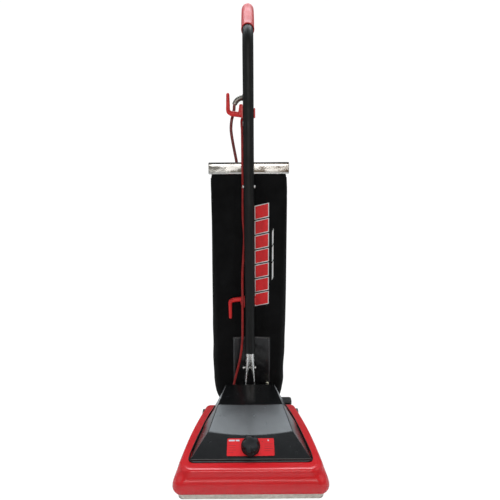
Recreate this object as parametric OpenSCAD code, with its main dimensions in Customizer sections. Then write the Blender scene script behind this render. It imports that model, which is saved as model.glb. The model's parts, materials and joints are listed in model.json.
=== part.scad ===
/* [Base] */
// Widest part of the hood
hood_width = 366; // [350:1:380]
// Foremost point of the hood, ahead of the origin
hood_front = 206.5; // [200:0.5:212]
// Height of the hood's front shoulder
hood_top = 85; // [83:1:87]
// Thickness of the hood and cover walls
shell_wall = 2.5; // [2:0.1:3]
// Height of the sole plate above the floor
sole_height = 8; // [7:0.5:9]
// Radius of a rear wheel
rear_wheel_r = 28; // [26:0.5:29]
// Radius of a front wheel
front_wheel_r = 14; // [13:0.5:14.5]

/* [Handle] */
// Diameter of the handle tube
tube_d = 28.6; // [27:0.1:29]
// Height at which the tube starts to bend back
bend_start = 1070; // [1040:5:1080]
// How far the grip leans back from upright
grip_lean = 45; // [35:1:50]
// Diameter of the grip
grip_d = 34; // [32:0.5:36]
// Length of the grip
grip_length = 120; // [100:5:125]

/* [Bag] */
// Width of the bag at its widest
bag_width = 220; // [200:5:224]
// Depth of the bag at its deepest
bag_depth = 93; // [80:1:95]
// Height of the clip that closes the bag
clip_height = 750; // [740:5:760]

/* [Supply cord] */
// Diameter of the supply cord
cord_d = 8; // [7:0.2:8]
// Mean radius of the coiled cord
coil_r = 68; // [60:1:70]

/* [Hidden] */

$fn = 64;
hull_fn = 32;
hook_fn = 20;
cover_fn = 16;
gap = 0.3;          // between parts that move against each other
fit = 0.05;         // radial clearance of a running fit
eps = 0.01;
through = 400;      // longer than any cut

// Hood outline
front_corner_r = 26;
rear_corner_r = 10;
hood_rear_half = 137;
hood_rear_y = 53.5;
hood_bottom = 30;
hood_rear_top = 82;
shoulder_y = -162.5; // where the flat top begins to roll over

// Motor cover: half width, y and z of each fold line, from the rear to the front lip
cover_folds = [[69, 43.5, 145.5], [85, -41.5, 142.5], [103.5, -113.5, 119], [141, -166.5, 89.5]];
cover_foot = [100, 43.5, 86];
cover_edge_r = 4;
slope_a = cover_folds[2];
slope_b = cover_folds[3];
slope = atan2(slope_a[2] - slope_b[2], slope_a[1] - slope_b[1]);
knob_share = 0.57;  // how far down the sloping panel the knob sits
knob_y = slope_a[1] + knob_share * (slope_b[1] - slope_a[1]);
fold_z = slope_a[2] + knob_share * (slope_b[2] - slope_a[2]);
cam_depth = 76.9;   // from the panel to the cam's low side
cam_r = 12;
cam_tilt = 10;

// Axes: [y, z] of parts that turn about X, [x, z] of those that turn about Y
brush_at = [-160, 30];
chamber_r = 32;
chamber_half = 160;
motor_at = [-38, 76];
pivot_at = [91.5, 70];
rear_axle_at = [58.5, rear_wheel_r];
carriage_at = [-84, 30];
front_axle_at = [-110, front_wheel_r];
latch_at = [64, 48];
spout_at = [52, 86];

// Along the motor shaft, by y
pulley_y = -150;
fan_front = -74.5;
fan_back = -48;
motor_back = 35;
fan_r = 53;
motor_r = 44;
shaft_r = 5;
throat_half = 24;
eye_r = 20;
duct_side = motor_at[0] + 43;
pulley_r = 6.5;
groove_r = 12;
belt_t = 1.6;
belt_w = 8;

// Handle
tube_r = tube_d / 2;
tube_wall = 1.5;
fork_top = 228;
tube_joint = 710;
tube_bolt_z = 716;
fork_bolt_z = 178;
bend_r = 60;
bend_thinning = 0.1; // the tube draws in a little where it is bent
hook_inner_r = tube_r + gap;
hook_outer_r = 18.5;

// Bag
bag_front = 113.5;
bag_back = bag_front + bag_depth;
bag_split = 250;
bag_wall = 2;
clip_half = 111;
clip_tall = 31;
clip_deep = 12;
clip_y = 112.5;
tab_y = 120.2;

// Cord: columns and layers of the coil
coil_columns = 6;
coil_layers = 3;
coil_pitch = cord_d + 0.4;
coil_y = 446;
coil_outer = coil_r + coil_columns * coil_pitch / 2;
coil_top = coil_layers * coil_pitch;
lead_d = 7;

// The cord leaves the switch in a quarter round of this radius
relief_r = 24.6;
function relief_point(a) = [-13.4 - relief_r * sin(a), 119, 951 - relief_r * (1 - cos(a))];
// The cord from the strain relief, down behind the bag and over the floor to the coil
cord_route = [relief_point(75), relief_point(82), [-38.5, 119, 920], [-41, 119, 909],
    [-45.5, 119, 893], [-47.5, 119, 870], [-44.5, 119, 844], [-39, 120.5, 813], [-33.5, 123.5, 782],
    [-31, 128, 748], [-30, 138, 705], [-30, 156, 645], [-30, 176.5, 580], [-30, 195.5, 520],
    [-30, 202, 420], [-31, 208.5, 320], [-32, 213, 240], [-34, 214.5, 160], [-36, 215, 95],
    [-38, 219, 52], [-41, 231, 20], [-46, 252, 7.4], [-53, 280, 4.5], [-63, 318, 4.3],
    [-76, 365, 4.1], [-86, 410, 4.1], [-89, 446, 4.1]];
// The end of the cord, from the top of the coil into the plug
cord_tail = [[-47, 452, 21.5], [-46.5, 462, 26], [-43, 476, 30.5], [-34, 493, 35], [-20, 504, 38],
    [-3, 509, 38.5]];
// The lead from the switch to the motor
lead_route = [[-8, 116, 927.7], [-8.2, 116, 921], [-13.5, 114.5, 905], [-17.8, 108, 892],
    [-18, 101, 877], [-17, 98.3, 858], [-17, 98.3, 780], [-16.8, 98.8, 750], [-16.3, 100.3, 724],
    [-16.3, 100.3, 707], [-16.8, 98.8, 680], [-17, 99.5, 630], [-14.5, 103.5, 590], [-14.5, 103.5, 560], [-17, 100, 520],
    [-20, 90, 470], [-20.5, 87, 400], [-21, 87, 330], [-24, 88, 280], [-28, 90, 240]];
lead_low_route = [[-28.1, 90, 239.2], [-32, 90.5, 215], [-38, 87.5, 185], [-44.5, 81.5, 155],
    [-48.5, 75.5, 135], [-51, 69, 121.5], [-52, 60, 116], [-52, 52, 116], [-52, 42, 116]];
// The sprung strain relief at the switch
relief_route = [for (a = [0, 15, 30, 45, 60, 72]) relief_point(a)];

// ---- curves and sweeps ----
function unit(v) = v / norm(v);
function between(a, b, t) = a + (b - a) * t;
function spline(a, b, c, d, t) = 0.5 * ((2 * b) + (c - a) * t + (2 * a - 5 * b + 4 * c - d) * t * t
    + (3 * b - a - 3 * c + d) * t * t * t);
// A smooth line through the points, with k steps between two of them
function smooth(p, k) = [for (i = [0:len(p) - 2], j = [0:k - 1]) spline(p[max(i - 1, 0)], p[i], p[i + 1],
    p[min(i + 2, len(p) - 1)], j / k), p[len(p) - 1]];
function tangents(p) = [for (i = [0:len(p) - 1]) unit(p[min(i + 1, len(p) - 1)] - p[max(i - 1, 0)])];
function first_side(t) = unit(cross(t, abs(t[2]) < 0.9 ? [0, 0, 1] : [0, 1, 0]));
function sides(t, i = 0, done = []) = i == len(t) ? done
    : sides(t, i + 1, concat(done, [let (s = i == 0 ? first_side(t[0]) : done[i - 1])
        unit(s - (s * t[i]) * t[i])]));

// The two triangles of a quad
function two(a, b, c, d) = [[a, b, c], [a, c, d]];

// A round bar of radius r along the points p
module bar(p, r, n = 10) {
    t = tangents(p);
    s = sides(t);
    rings = [for (i = [0:len(p) - 1], k = [0:n - 1])
        p[i] + r * (cos(k * 360 / n) * s[i] + sin(k * 360 / n) * cross(t[i], s[i]))];
    last = (len(p) - 1) * n;
    polyhedron(rings, concat([[for (k = [0:n - 1]) k]], [[for (k = [n - 1:-1:0]) last + k]],
        [for (i = [0:len(p) - 2], k = [0:n - 1], f = two(i * n + k, (i + 1) * n + k,
            (i + 1) * n + (k + 1) % n, i * n + (k + 1) % n)) f]));
}

module along_x() { rotate([90, 0, 90]) children(); }
module along_y() { rotate([90, 0, 0]) children(); }
// A round bar along X between x0 and x1, about the axis at = [y, z]
module rod_x(at, x0, x1, r) { translate([x0, at[0], at[1]]) rotate([0, 90, 0]) cylinder(r = r, h = x1 - x0); }
// A round bar along Y between y0 and y1, about the axis at = [x, z]
module rod_y(at, y0, y1, r) { translate([at[0], y1, at[1]]) rotate([90, 0, 0]) cylinder(r = r, h = y1 - y0); }
module tube_x(at, x0, x1, r, bore) { difference() { rod_x(at, x0, x1, r); rod_x(at, x0 - 1, x1 + 1, bore); } }
module tube_y(at, y0, y1, r, bore) { difference() { rod_y(at, y0, y1, r); rod_y(at, y0 - 1, y1 + 1, bore); } }
module block(low, high) { translate(low) cube(high - low); }
module both() { children(); mirror([1, 0, 0]) children(); }
// The knob's own frame: z is out of the sloping panel
module at_knob() {
    translate([0, knob_y, fold_z]) rotate([slope, 0, 0]) translate([0, 0, cover_edge_r]) children();
}

// ---- shells of the base ----
// The solid of the hood, drawn in by t
module hood_form(t) {
    corner_y = front_corner_r - hood_front;
    hull() both() {
        translate([hood_width / 2 - front_corner_r, corner_y, hood_bottom + (t > 0 ? -5 : 0)])
            cylinder(r = front_corner_r - 3 - t, h = 1, $fn = hull_fn);
        translate([hood_width / 2 - front_corner_r, corner_y, 40])
            cylinder(r = front_corner_r - t, h = 6, $fn = hull_fn);
        translate([hood_width / 2 - 36, shoulder_y, hood_top - 26]) sphere(r = 26 - t, $fn = hull_fn);
        translate([hood_rear_half - rear_corner_r, hood_rear_y - rear_corner_r,
            hood_bottom + (t > 0 ? -5 : 0)]) cylinder(r = rear_corner_r - t, h = 30, $fn = hull_fn);
        translate([hood_rear_half - 16, hood_rear_y - rear_corner_r, hood_rear_top - 8])
            sphere(r = 8 - t, $fn = hull_fn);
    }
}
// What the motor and the knob need to stand through the hood
module hood_window() {
    linear_extrude(height = through) polygon([[-132, -167.5], [132, -167.5], [134, -152], [93, 60],
        [-93, 60], [-134, -152]]);
}
module hood() {
    color("crimson") difference() {
        hood_form(0);
        hood_form(shell_wall);
        hood_window();
        block([-100, 38, 0], [100, 80, 120]);
        both() block([108, 26, 0], [146, 80, rear_wheel_r * 2 + 4]);
    }
}
module cover_form(t) {
    hull() both() {
        for (f = cover_folds) translate(f) sphere(r = cover_edge_r - t, $fn = cover_fn);
        translate(cover_foot) sphere(r = cover_edge_r - t, $fn = cover_fn);
        if (t > 0) {
            translate(slope_b - [0, 0, 20]) sphere(r = cover_edge_r - t, $fn = cover_fn);
            translate(cover_foot - [0, 0, 20]) sphere(r = cover_edge_r - t, $fn = cover_fn);
        }
    }
}
module motor_cover() {
    color("#151517") difference() {
        cover_form(0);
        cover_form(shell_wall);
        at_knob() translate([0, 0, -12]) cylinder(r = 8, h = 30);
        rod_y(spout_at, 20, 60, 30);
        rod_y([-52, 116], 20, 60, 6);
        both() rod_y([60, 132], 20, 60, 2.1);
    }
}
module label_plate() {
    color("red") at_knob() difference() {
        translate([-56.5, -21, gap]) cube([113, 39, 1]);
        translate([0, 0, -5]) cylinder(r = 8, h = 10);
    }
}
module cover_screws() {
    color("silver") both() {
        rod_y([60, 132], 28, 48.2, 2);
        rod_y([60, 132], 47.9, 50.5, 4);
    }
}
// The hood's outline from above, drawn in by inset
module outline(inset) {
    rear_r = max(rear_corner_r - inset, 1);
    hull() both() {
        translate([hood_width / 2 - front_corner_r, front_corner_r - hood_front])
            circle(r = front_corner_r - inset);
        translate([hood_rear_half - inset - rear_r, hood_rear_y - inset - rear_r]) circle(r = rear_r);
    }
}
module furniture_guard() {
    color("#d9d4c8") translate([0, 0, sole_height]) linear_extrude(height = hood_bottom - gap - sole_height)
        difference() {
            outline(8);
            outline(12);
            translate([-through / 2, -110]) square(through);
        }
}

// ---- chassis ----
module sole_plate() {
    color("silver") difference() {
        translate([0, 0, sole_height]) linear_extrude(height = 1.5) intersection() {
            outline(12.5);
            translate([-through / 2, -198]) square([through, 70]);
        }
        for (x = [-148, -48, 52]) block([x, -182, 0], [x + 96, -138, 20]);
    }
}
module base_frame() {
    rail = [92, 96];
    rail_top = 60;
    color("#3a3b3d") difference() {
        union() {
            // arch over the brush roll
            rod_x(brush_at, -chamber_half, chamber_half, chamber_r);
            // rails, floor and rear wall
            both() block([rail[0], -135, 14], [rail[1], 68, rail_top]);
            block([-rail[1], -60, 14], [rail[1], 49, 17]);
            block([-rail[1], 46, 14], [rail[1], 49, rail_top]);
            // lug of the handle pivot
            hull() {
                block([-10.5, 46, 56], [10.5, 49, 80]);
                rod_x(pivot_at, -10.5, 10.5, 12, $fn = hull_fn);
            }
            // boss of the height knob's shaft, and the rib that holds it
            at_knob() translate([0, 0, -50]) cylinder(r = 9, h = 16);
            block([-3, -150, 55], [3, -118, 70]);
            // post beside the latch tooth
            block([18, 46, 40], [24, 70, 56]);
        }
        rod_x(brush_at, -chamber_half - 1, chamber_half + 1, chamber_r - shell_wall);
        block([-through, -through, -50], [through, through, 10]);
        // way for the belt and the air
        block([motor_at[0] - throat_half - gap, -165, 40], [motor_at[0] + throat_half + gap, -128, 80]);
        at_knob() translate([0, 0, -60]) cylinder(r = shaft_r + fit, h = 40);
        rod_x(pivot_at, -20, 20, 5.02);
        rod_x(rear_axle_at, -through, through, 4.02);
        rod_x(latch_at, 10, through, 4 + fit);
        rod_x(carriage_at, -through, through, 3 + fit);
    }
}
module rear_axle() { color("silver") rod_x(rear_axle_at, -145, 145, 4); }
module axle_caps() {
    color("silver") both() tube_x(rear_axle_at, 143.4, 144.6, 8, 4.02);
}
module pivot_pin() {
    color("silver") {
        rod_x(pivot_at, -17, 17, 5);
        both() rod_x(pivot_at, 16.9, 19.5, 8);
    }
}

// ---- suction fan and motor ----
module fan_housing() {
    wall = 2.5;
    color("#8e9194") difference() {
        union() {
            rod_y(motor_at, fan_front + gap, fan_back, fan_r);
            rod_y(motor_at, fan_back - 1, fan_back + 9, 15);
        }
        rod_y(motor_at, fan_front - 1, fan_back - wall, fan_r - wall);
        rod_y(motor_at, fan_back - 10, fan_back + 1, 8);
        rod_y(motor_at, fan_back + 1 - eps, fan_back + 20, 11.02);
        block([duct_side, fan_front - 1, 54], [60, fan_back - wall, 98]);
    }
}
module fan_cover() {
    half = throat_half;
    module side(grow) {
        polygon([[-166.5 + grow, 52 + grow], [-166.5 + grow, 84 - grow], [-122, 108 - grow],
            [fan_front - 2, 108 - grow], [fan_front - 2, 48 + grow], [-128, 48 + grow]]);
    }
    color("#6f7275") difference() {
        union() {
            rod_y(motor_at, fan_front - 2, fan_front, fan_r);
            translate([motor_at[0] - half, 0, 0]) along_x() linear_extrude(height = 2 * half) side(0);
        }
        translate([motor_at[0] - half + 2.5, 0, 0]) along_x() linear_extrude(height = 2 * half - 5)
            side(2.5);
        rod_y(motor_at, fan_front - 10, fan_front + 5, eye_r);
        rod_x(brush_at, -through / 2, through / 2, chamber_r + gap);
    }
}
module exhaust_duct() {
    color("#202124") difference() {
        union() {
            block([duct_side, fan_front + gap, 48], [76, 36, 108]);
            rod_y(spout_at, 35, 104, 24);
        }
        difference() {
            block([duct_side, fan_front + 3, 50.5], [73.5, 33.5, 105.5]);
            rod_y(motor_at, -100, 40, fan_r + gap + 2.5);
        }
        block([duct_side, fan_front + 3, 54], [22, fan_back - 3, 98]);
        rod_y(spout_at, 20, 110, 21.5);
        rod_y(motor_at, -100, 40, fan_r + gap);
    }
}
module motor_housing() {
    color("#5b5e62") difference() {
        rod_y(motor_at, fan_back + gap, motor_back, motor_r);
        rod_y(motor_at, fan_back - 1, motor_back - 3, motor_r - 2);
        rod_y(motor_at, motor_back - 5, motor_back + 5, 11.02);
        for (a = [30:60:330]) translate([motor_at[0], motor_back, motor_at[1]]) rotate([0, a, 0])
            translate([27, 0, 0]) along_y() translate([0, 0, -5]) cylinder(r = 6, h = 20);
    }
}
module stator() {
    color("#7c5a3a") difference() {
        rod_y(motor_at, -36, 6, motor_r - 2.1);
        rod_y(motor_at, -40, 10, 22.6);
        both_sides_of_motor() block([30, -40, -14], [50, 10, 14]);
    }
}
// Repeats a part on both sides of the motor shaft, drawn from the shaft's own axis
module both_sides_of_motor() {
    translate([motor_at[0], 0, motor_at[1]]) both() children();
}
module carbon_brushes() {
    color("#2b2b2b") both_sides_of_motor() block([14.4, 14, -4], [36, 21, 4]);
}
module motor_bearings() {
    color("silver") {
        tube_y(motor_at, fan_back + 1.05, fan_back + 8.8, 11, shaft_r + fit);
        tube_y(motor_at, motor_back - 5.5, motor_back + 1.5, 11, shaft_r + fit);
    }
}
module motor_shaft() {
    color("gainsboro") {
        rod_y(motor_at, pulley_y - 8, motor_back + 2, shaft_r);
        rod_y(motor_at, pulley_y - 7.5, pulley_y + 7.5, pulley_r);
        for (y = [pulley_y - 8, pulley_y + 7]) rod_y(motor_at, y, y + 1, pulley_r + 0.7);
    }
}
module fan_impeller() {
    blades = 9;
    color("#c9c9c2") difference() {
        union() {
            rod_y(motor_at, fan_back - 8, fan_back - 5, 48);
            rod_y(motor_at, fan_front + 5, fan_back - 5, 11);
            for (i = [0:blades - 1]) translate([motor_at[0], fan_back - 7, motor_at[1]])
                along_y() rotate(i * 360 / blades) translate([9, -1]) rotate(20) cube([36, 2.2, 13]);
        }
        rod_y(motor_at, -100, 0, shaft_r + eps);
    }
}
module armature() {
    slots = 12;
    color("#a3743f") difference() {
        rod_y(motor_at, -36, 6, 22);
        rod_y(motor_at, -40, 10, shaft_r + eps);
        for (i = [0:slots - 1]) translate([motor_at[0], 0, motor_at[1]]) rotate([0, i * 360 / slots, 0])
            block([18, -50, -1], [30, 20, 1]);
    }
}
module commutator() { color("#b87333") tube_y(motor_at, 10, 24, 14, shaft_r + eps); }

// ---- brush roll and belt ----
module brush_core() {
    color("#b58a56") difference() {
        union() {
            rod_x(brush_at, -148, 148, 15);
            rod_x(brush_at, -156, 156, 4);
        }
        difference() {
            rod_x(brush_at, motor_at[0] - 7, motor_at[0] + 7, 20);
            rod_x(brush_at, motor_at[0] - 8, motor_at[0] + 8, groove_r);
        }
    }
}
module bristle_tufts() {
    tufts = 18;
    color("#1b1b1b") for (row = [0, 180], i = [0:tufts - 1]) {
        x = -140 + i * 280 / (tufts - 1);
        if (abs(x - motor_at[0]) > 11) translate([x, brush_at[0], brush_at[1]])
            rotate([row + i * 20, 0, 0]) translate([0, 0, 14.5]) cylinder(r = 3, h = 10, $fn = 16);
    }
}
module brush_end_caps() {
    color("#2d2e30") both() difference() {
        tube_x(brush_at, 149, 158, chamber_r - shell_wall - gap, 4 + fit);
        block([140, -200, 0], [160, -120, 10]);
    }
}
// One ring of the belt: centre, outward side, and the way its width runs
function belt_ring(p, n, w) = [for (s = [[-1, -1], [1, -1], [1, 1], [-1, 1]])
    p + n * s[0] * belt_t / 2 + w * s[1] * belt_w / 2];
// The belt's rings between two tangent points, while it twists from one outward side to the other
function belt_run(from, n0, to, n1, steps) = let (d = unit(to - from)) [for (i = [1:steps - 1])
    let (m = between(n0, n1, i / steps), n = unit(m - (m * d) * d))
        belt_ring(between(from, to, i / steps), n, cross(d, n))];
module drive_belt() {
    wrap = 12;
    run = 8;
    low = [motor_at[0], brush_at[0], brush_at[1]];
    high = [motor_at[0], pulley_y, motor_at[1]];
    rb = groove_r + 0.4 + belt_t / 2;
    rp = pulley_r + 0.4 + belt_t / 2;
    // where the straight runs leave the roll and the pulley
    lift = high[2] - low[2];
    ahead = high[1] - low[1];
    lean = atan2(ahead, lift);
    bow = asin(rb / norm([ahead, lift]));
    low_a = [-lean - bow, 180 + bow - lean];
    dip = asin(rp / lift);
    high_a = [-dip, 180 + dip];
    function low_n(a) = [0, -cos(a), -sin(a)];
    function high_n(a) = [cos(a), 0, sin(a)];
    rings = concat(
        [for (i = [0:wrap]) let (n = low_n(between(low_a[0], low_a[1], i / wrap)))
            belt_ring(low + rb * n, n, [-1, 0, 0])],
        belt_run(low + rb * low_n(low_a[1]), low_n(low_a[1]), high + rp * high_n(high_a[0]),
            high_n(high_a[0]), run),
        [for (i = [0:wrap]) let (n = high_n(between(high_a[0], high_a[1], i / wrap)))
            belt_ring(high + rp * n, n, [0, 1, 0])],
        belt_run(high + rp * high_n(high_a[1]), high_n(high_a[1]), low + rb * low_n(low_a[0]),
            low_n(low_a[0]), run));
    count = len(rings);
    color("#26221f") polyhedron([for (r = rings, p = r) p], [for (i = [0:count - 1], k = [0:3],
        f = two(i * 4 + k, ((i + 1) % count) * 4 + k, ((i + 1) % count) * 4 + (k + 1) % 4,
            i * 4 + (k + 1) % 4)) f]);
}

// ---- height adjustment ----
module height_knob() {
    lobes = 5;
    color("#141416") at_knob() difference() {
        union() {
            translate([0, 0, 2]) cylinder(r1 = 25, r2 = 21.5, h = 7);
            translate([0, 0, 9]) cylinder(r = 16.5, h = 8.5);
            for (i = [0:lobes - 1]) rotate(i * 360 / lobes) translate([14.5, 0, 9]) cylinder(r = 6, h = 8.5);
        }
        cylinder(r = shaft_r + eps, h = 12);
    }
}
module knob_shaft() {
    color("silver") at_knob() {
        translate([0, 0, 14 - cam_depth]) cylinder(r = shaft_r, h = cam_depth - 8);
        difference() {
            translate([0, 0, -cam_depth]) cylinder(r = cam_r, h = 14);
            translate([9, 0, -cam_depth]) rotate([0, cam_tilt, 0]) translate([-50, -50, -30])
                cube([100, 100, 30]);
        }
    }
}
module front_carriage() {
    color("#9a9da0") difference() {
        union() {
            rod_x(carriage_at, -98, 98, 3);
            both() for (x = [39, 62]) hull() {
                rod_x(carriage_at, x, x + 3, 6, $fn = hull_fn);
                rod_x(front_axle_at, x, x + 3, 6, $fn = hull_fn);
            }
            block([-65, -92, 31.5], [65, -82, 36]);
            // finger under the cam
            translate([9, 0, 0]) along_x() translate([0, 0, -3]) linear_extrude(height = 6)
                polygon([[-90, 33], [-90, 36], [-103, 36], [-104, 38], [-106.5, 38], [-108, 33]]);
        }
        rod_x(front_axle_at, -through / 2, through / 2, 3.02);
    }
}
module front_axle() { color("silver") rod_x(front_axle_at, -67, 67, 3); }
module front_wheel(x) {
    color("#1a1a1b") difference() {
        tube_x(front_axle_at, x - 8, x + 8, front_wheel_r, 3 + fit);
        for (e = [-9, 5]) tube_x(front_axle_at, x + e, x + e + 4, 10, 6);
    }
}
module front_wheel_left() { front_wheel(-52); }
module front_wheel_right() { front_wheel(52); }
module rear_wheel(x) {
    color("#1a1a1b") difference() {
        tube_x(rear_axle_at, x - 12, x + 12, rear_wheel_r, 4 + fit);
        for (e = [-13, 9]) tube_x(rear_axle_at, x + e, x + e + 4, 21, 9);
    }
}
module rear_wheel_left() { rear_wheel(-131); }
module rear_wheel_right() { rear_wheel(131); }

// ---- handle release ----
module release_pedal() {
    color("#161617") {
        rod_x(latch_at, 11, 113, 4);
        hull() {
            rod_x(latch_at, 104, 113, 7, $fn = hull_fn);
            block([104, 78, 60], [113, 88, 64]);
        }
        hull() for (x = [97, 119], y = [81, 96]) translate([x, y, 62.5]) cylinder(r = 7, h = 8, $fn = hull_fn);
        translate([11.5, 0, 0]) along_x() linear_extrude(height = 3.5)
            polygon([[64, 44.5], [88, 46], [95, 50], [94, 55], [89, 55], [88, 51], [64, 51.5]]);
    }
}
module latch_spring() {
    turns = 5;
    steps = 12;
    coil = [for (i = [0:turns * steps]) [30 + i * 12 / (turns * steps),
        latch_at[0] + 5.4 * cos(i * 360 / steps), latch_at[1] + 5.4 * sin(i * 360 / steps)]];
    color("silver") bar(coil, 0.8, 8);
}

// ---- handle ----
module handle_fork() {
    color("gainsboro") difference() {
        union() {
            translate([0, pivot_at[0], 190]) cylinder(r = tube_r - tube_wall - 0.1, h = 90);
            both() hull() {
                block([6, pivot_at[0] - 10.5, 186], [12, pivot_at[0] + 10.5, 200]);
                block([11.2, pivot_at[0] - 9, 95], [15.2, pivot_at[0] + 9, 100]);
            }
            both() hull() {
                block([11.2, pivot_at[0] - 9, 95], [15.2, pivot_at[0] + 9, 100]);
                rod_x(pivot_at, 11.2, 15.2, 14, $fn = hull_fn);
            }
        }
        translate([0, pivot_at[0], 205]) cylinder(r = tube_r - tube_wall - 2.2, h = 90);
        // the gap between the legs narrows to a point
        translate([0, pivot_at[0] - 30, 0]) rotate([90, 0, 180]) linear_extrude(height = 60)
            polygon([[-11.2, 40], [11.2, 40], [11.2, 100], [1, 206], [-1, 206], [-11.2, 100]]);
        rod_x(pivot_at, -20, 20, 5 + fit);
        rod_x([pivot_at[0], fork_bolt_z], -30, 30, 3.02);
        // notch above the latch tooth
        block([0, 87, 50], [30, 96, 58.5]);
    }
}
module fork_bolt() {
    at = [pivot_at[0], fork_bolt_z];
    color("silver") {
        rod_x(at, -22, 18, 3);
        rod_x(at, -22, -19, 5);
        rod_x(at, -19.1, -15.5, 4.2);
        rod_x(at, 15.5, 18, 5);
    }
}
module lower_tube() {
    spigot_r = tube_r - tube_wall - 0.1;
    spigot = 40;
    color("#2a2a2b") translate([0, pivot_at[0], 0]) difference() {
        union() {
            translate([0, 0, fork_top]) cylinder(r = tube_r, h = tube_joint - fork_top);
            translate([0, 0, tube_joint - 1]) cylinder(r = spigot_r, h = spigot);
        }
        translate([0, 0, fork_top - 1]) cylinder(r = tube_r - tube_wall, h = tube_joint - spigot - fork_top);
        translate([0, 0, fork_top]) cylinder(r = spigot_r - tube_wall, h = tube_joint);
        rod_x([0, tube_bolt_z], -through / 2, through / 2, 3.02);
    }
}
module upper_tube() {
    bore = tube_r - tube_wall;
    color("#2a2a2b") translate([0, pivot_at[0], 0]) difference() {
        union() {
            translate([0, 0, tube_joint + gap]) cylinder(r = tube_r, h = bend_start - tube_joint);
            translate([0, bend_r, bend_start]) rotate([90, 0, -90]) rotate_extrude(angle = grip_lean)
                translate([bend_r, 0]) circle(r = tube_r - bend_thinning);
            translate([0, bend_r, bend_start]) rotate([-grip_lean, 0, 0]) translate([0, -bend_r, -0.3])
                cylinder(r = tube_r, h = grip_length - 6);
        }
        translate([0, 0, tube_joint - 1]) cylinder(r = bore, h = bend_start - tube_joint + 1);
        translate([0, bend_r, bend_start]) rotate([90, 0, -90]) rotate_extrude(angle = grip_lean)
            translate([bend_r, 0]) circle(r = bore + bend_thinning);
        translate([0, bend_r, bend_start]) rotate([-grip_lean, 0, 0]) translate([0, -bend_r, -0.3])
            cylinder(r = bore, h = grip_length);
        rod_x([0, tube_bolt_z], -through / 2, through / 2, 3.02);
    }
}
module tube_bolt() {
    at = [pivot_at[0], tube_bolt_z];
    color("silver") {
        rod_x(at, -17.5, 17.5, 3);
        both() rod_x(at, tube_r + 0.1, 17.5, 4.5);
    }
}
module grip() {
    color("firebrick") translate([0, pivot_at[0] + bend_r, bend_start]) rotate([-grip_lean, 0, 0])
        translate([0, -bend_r, 0]) difference() {
            union() {
                cylinder(r = grip_d / 2, h = grip_length - 5);
                translate([0, 0, grip_length - 5]) cylinder(r1 = grip_d / 2, r2 = grip_d / 2 - 4, h = 5);
            }
            translate([0, 0, -1]) cylinder(r = tube_r + 0.02, h = grip_length - 4.5);
        }
}
// A cord hook: a saddle behind the tube, an arm to the left and a prong; up is 1 or -1
module hook(z, up, reach, prong) {
    color("crimson") translate([0, pivot_at[0], z]) mirror([0, 0, up > 0 ? 0 : 1]) {
        difference() {
            translate([0, 0, -2]) cylinder(r = hook_outer_r, h = 32);
            translate([0, 0, -5]) cylinder(r = hook_inner_r, h = 50);
            translate([-50, -50, -5]) cube([100, 50, 50]);
            translate([0, 0, 16]) rotate([-90, 0, 0]) cylinder(r = 2.1, h = 40);
        }
        hull() {
            translate([-hook_outer_r, 8, 7]) sphere(r = 5.5, $fn = hook_fn);
            translate([-reach + 4, 7, 11]) sphere(r = 5, $fn = hook_fn);
        }
        hull() {
            translate([-reach, 7, 14]) sphere(r = 5, $fn = hook_fn);
            translate([-reach, 7, prong]) sphere(r = 4.5, $fn = hook_fn);
        }
        hull() {
            translate([-reach + 4, 7, 11]) sphere(r = 5, $fn = hook_fn);
            translate([-reach, 7, 14]) sphere(r = 5, $fn = hook_fn);
        }
        // gusset between the arm and the saddle
        hull() {
            translate([-27, 5, 12]) cube([10, 5, 1]);
            translate([-24, 5, 24]) cube([7, 5, 8]);
        }
    }
}
module upper_hook() { hook(897, 1, 53.5, 58); }
module lower_hook() { hook(400, -1, 60, 64); }
module hook_screws() {
    color("silver") for (z = [913, 384]) translate([0, pivot_at[0] + tube_r + 0.4, z]) rotate([-90, 0, 0]) {
        cylinder(r = 2, h = 5);
        translate([0, 0, 4.2]) cylinder(r = 4, h = 2);
    }
}
module switch_housing() {
    y0 = pivot_at[0] + tube_r + gap;
    color("#1b1b1d") difference() {
        block([-13, y0, 928], [13, y0 + 26, 1010]);
        difference() {
            block([-11, y0 + 2, 930], [11, y0 + 24, 1008]);
            both() block([7.4, y0 + 19, 973], [12, y0 + 25, 981]);
        }
        block([-7, y0 + 20, 965], [7, y0 + 30, 989]);
        rod_x([y0 + 23, 977], -10, 10, 1.5 + fit);
    }
}
module switch_rocker() {
    y0 = pivot_at[0] + tube_r + gap + 26;
    color("#c22a2a") {
        rod_x([y0 - 3, 977], -9.5, 9.5, 1.5);
        hull() {
            rod_x([y0 - 3, 977], -6.5, 6.5, 2, $fn = hull_fn);
            block([-6.5, y0 - 1, 966], [6.5, y0 + 3, 967]);
            block([-6.5, y0 - 1, 987], [6.5, y0 + 0.5, 988]);
        }
    }
}
module cord_relief() { color("silver") bar(smooth(relief_route, 3), 7, 12); }
module supply_cord() {
    color("#5e1f1c") {
        bar(smooth(cord_route, 3), cord_d / 2, 10);
        bar(smooth(cord_tail, 3), cord_d / 2, 10);
    }
}
module cord_coil() {
    color("#5e1f1c") translate([0, coil_y, 0]) rotate_extrude()
        translate([coil_r - coil_columns * coil_pitch / 2, 0]) square([coil_columns * coil_pitch, coil_top]);
}
module plug() {
    blade = [18.3, 1.5, 6.35];
    color("#232324") translate([0, 509, coil_top + gap + 13]) {
        hull() {
            translate([2, -8, -8]) cube([4, 16, 16]);
            translate([16, -14, -13]) cube([14, 28, 26]);
        }
        for (y = [-6.35, 6.35]) translate([29.9, y - blade[1] / 2, 0]) cube(blade);
        translate([29.9, 0, blade[2] / 2 - 11.9]) rotate([0, 90, 0]) cylinder(r = 2.38, h = 20);
    }
}
module motor_lead_upper() { color("#7a2320") bar(smooth(lead_route, 3), lead_d / 2, 10); }
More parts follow.
